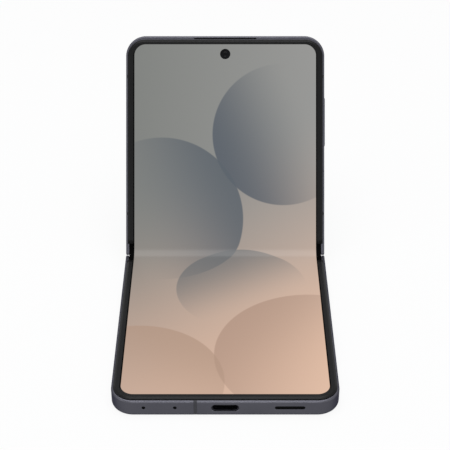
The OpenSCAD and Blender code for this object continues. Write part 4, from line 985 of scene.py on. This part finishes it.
# %% [markdown]
# ## Finishes of the CAD nodes that stay
# Everything else keeps its CAD solid: the plates, the hinge with its gears, the cells, the
# boards. Each node gets the finish of what it is made of.

# %% Materials for the kept nodes
KEPT = {
    etched_glass: ["lower_back_cover"],
    polished_glass: ["cover_glass", "cover_display_panel"],
    spine_anodised: ["spine_cover"],
    anodised: ["card_tray"],
    machined: ["lower_midplate", "upper_midplate"],
    ground_steel: ["lower_hinge_arms", "upper_hinge_arms", "lower_hinge_shafts", "hinge_brackets",
                   "upper_hinge_shafts", "lower_sync_gears", "upper_sync_gears", "lower_screws",
                   "lower_idler_gears", "upper_idler_gears", "upper_screws", "haptic_motor"],
    spring: ["lower_support_plate", "upper_support_plate", "hinge_friction_clips",
             "lower_display_backplate", "upper_display_backplate"],
    tinned: ["shield_cans", "card_socket", "bottom_microphones", "top_microphones", "key_switches"],
    pouch: ["lower_battery", "upper_battery"],
    wound_copper: ["charging_coil"],
    solder_mask: ["sub_board", "main_board"],
    black_nylon: ["speaker_module", "earpiece", "rear_cameras", "front_camera", "spine_end_caps"],
    acoustic_mesh: ["speaker_mesh", "earpiece_mesh"],
    phosphor: ["flash_led"],
}
for material, names in KEPT.items():
    for name in names:
        node = frame["nodes"][name]
        node.data.materials.clear()
        node.data.materials.append(material)
left = [n for n, o in frame["nodes"].items() if not o.hide_render and not any(
    n in names for names in KEPT.values())]
print("kept nodes with a finish:", sum(map(len, KEPT.values())), "left over:", left)

# %% [markdown]
# ## Floor, light and camera
# The picture was taken against plain white. Floor and surroundings are therefore white to the
# camera, to reflections and to rays through glass, while the light on the object stays level.
# The floor keeps a tenth of its own shading, which leaves the phone its soft shadow.

# %% Floor
FLOOR_HALF, FLOOR_DROP = 4, 1e-4  # metres; the drop keeps it clear of the phone's back
FLOOR_WHITE = 0.9


def white_for_view(tree, lit, strength):
    """Mixes a lit shader with plain white for camera, glossy and transmission rays."""
    path = add(tree, "ShaderNodeLightPath")
    seen = add(tree, "ShaderNodeMath", {0: path.outputs["Is Camera Ray"],
                                        1: path.outputs["Is Glossy Ray"]}, operation="MAXIMUM")
    seen = add(tree, "ShaderNodeMath", {0: seen.outputs[0],
                                        1: path.outputs["Is Transmission Ray"]}, operation="MAXIMUM")
    share = add(tree, "ShaderNodeMath", {0: seen.outputs[0], 1: strength}, operation="MULTIPLY")
    white = add(tree, "ShaderNodeEmission", {"Color": srgb("#ffffff"), "Strength": 1.0})
    return add(tree, "ShaderNodeMixShader", {0: share.outputs[0], 1: lit, 2: white.outputs[0]})


pale = bpy.data.materials.new("pale floor")
pale.use_nodes = True
tree = pale.node_tree
tree.nodes.remove(tree.nodes["Principled BSDF"])
matt = add(tree, "ShaderNodeBsdfDiffuse", {"Color": srgb("#e6e6e6")}).outputs[0]
tree.links.new(white_for_view(tree, matt, FLOOR_WHITE).outputs[0],
               tree.nodes["Material Output"].inputs["Surface"])
mesh = bpy.data.meshes.new("floor")
mesh.from_pydata([(x * FLOOR_HALF, y * FLOOR_HALF, -FLOOR_DROP)
                  for x, y in ((-1, -1), (1, -1), (1, 1), (-1, 1))], [], [(0, 1, 2, 3)])
floor = bpy.data.objects.new("floor", mesh)
floor.data.materials.append(pale)
bpy.context.scene.collection.objects.link(floor)
print("floor of", 2 * FLOOR_HALF, "metres")

# %% [markdown]
# A pale sky lights the phone from all sides. A broad soft lamp straight above brightens what
# faces up, a low one in front lights the rounded front edge, and two weak ones at the sides
# keep the flanks readable.

# %% World and lamps
SKY_STRENGTH = 0.45
LOOK_AT = (0, 0.02, 0.03)
LAMPS = {  # place and size in metres, and watts
    "above": ((0, 0.04, 0.9), 0.75, 6.2),
    "front": ((0, -1.2, 0.2), 0.6, 3.6),
    "left": ((-0.9, -0.5, 0.18), 0.5, 1.6),
    "right": ((0.9, -0.5, 0.18), 0.5, 1.1),
}

world = bpy.data.worlds.new("studio")
world.use_nodes = True
bpy.context.scene.world = world
tree = world.node_tree
sky = tree.nodes["Background"]
sky.inputs["Color"].default_value = srgb("#f4f6fa")
sky.inputs["Strength"].default_value = SKY_STRENGTH
tree.links.new(white_for_view(tree, sky.outputs[0], 1.0).outputs[0],
               tree.nodes["World Output"].inputs["Surface"])

for name, (place_m, size_m, watts) in LAMPS.items():
    data = bpy.data.lights.new(name, "AREA")
    data.shape, data.size, data.energy = "SQUARE", size_m, watts
    lamp = bpy.data.objects.new(name, data)
    bpy.context.scene.collection.objects.link(lamp)
    lamp.location = place_m
    way = mathutils.Vector(LOOK_AT) - mathutils.Vector(place_m)
    lamp.rotation_euler = way.to_track_quat("-Z", "Y").to_euler()
print("lamps:", len(LAMPS))

# %% [markdown]
# The camera looks down on the phone with a long lens, so the flanks stay nearly parallel. Its
# height and angle were fitted to the phone's outline, the gap of the hinge and the end face.

# %% Camera at the photograph's viewpoint
ELEVATION = math.radians(33.69)
VIEWPOINT = (-0.00008, -0.34676, 0.27827)  # metres
LENS, SENSOR = 100, 36
camera = bpy.data.objects.new("camera", bpy.data.cameras.new("camera"))
bpy.context.scene.collection.objects.link(camera)
camera.location = VIEWPOINT
camera.rotation_euler = (math.pi / 2 - ELEVATION, 0, 0)
camera.data.lens, camera.data.sensor_width = LENS, SENSOR
camera.data.clip_start = 0.01
bpy.context.scene.camera = camera
bpy.context.scene.view_settings.view_transform = "Standard"
print("camera at", VIEWPOINT)
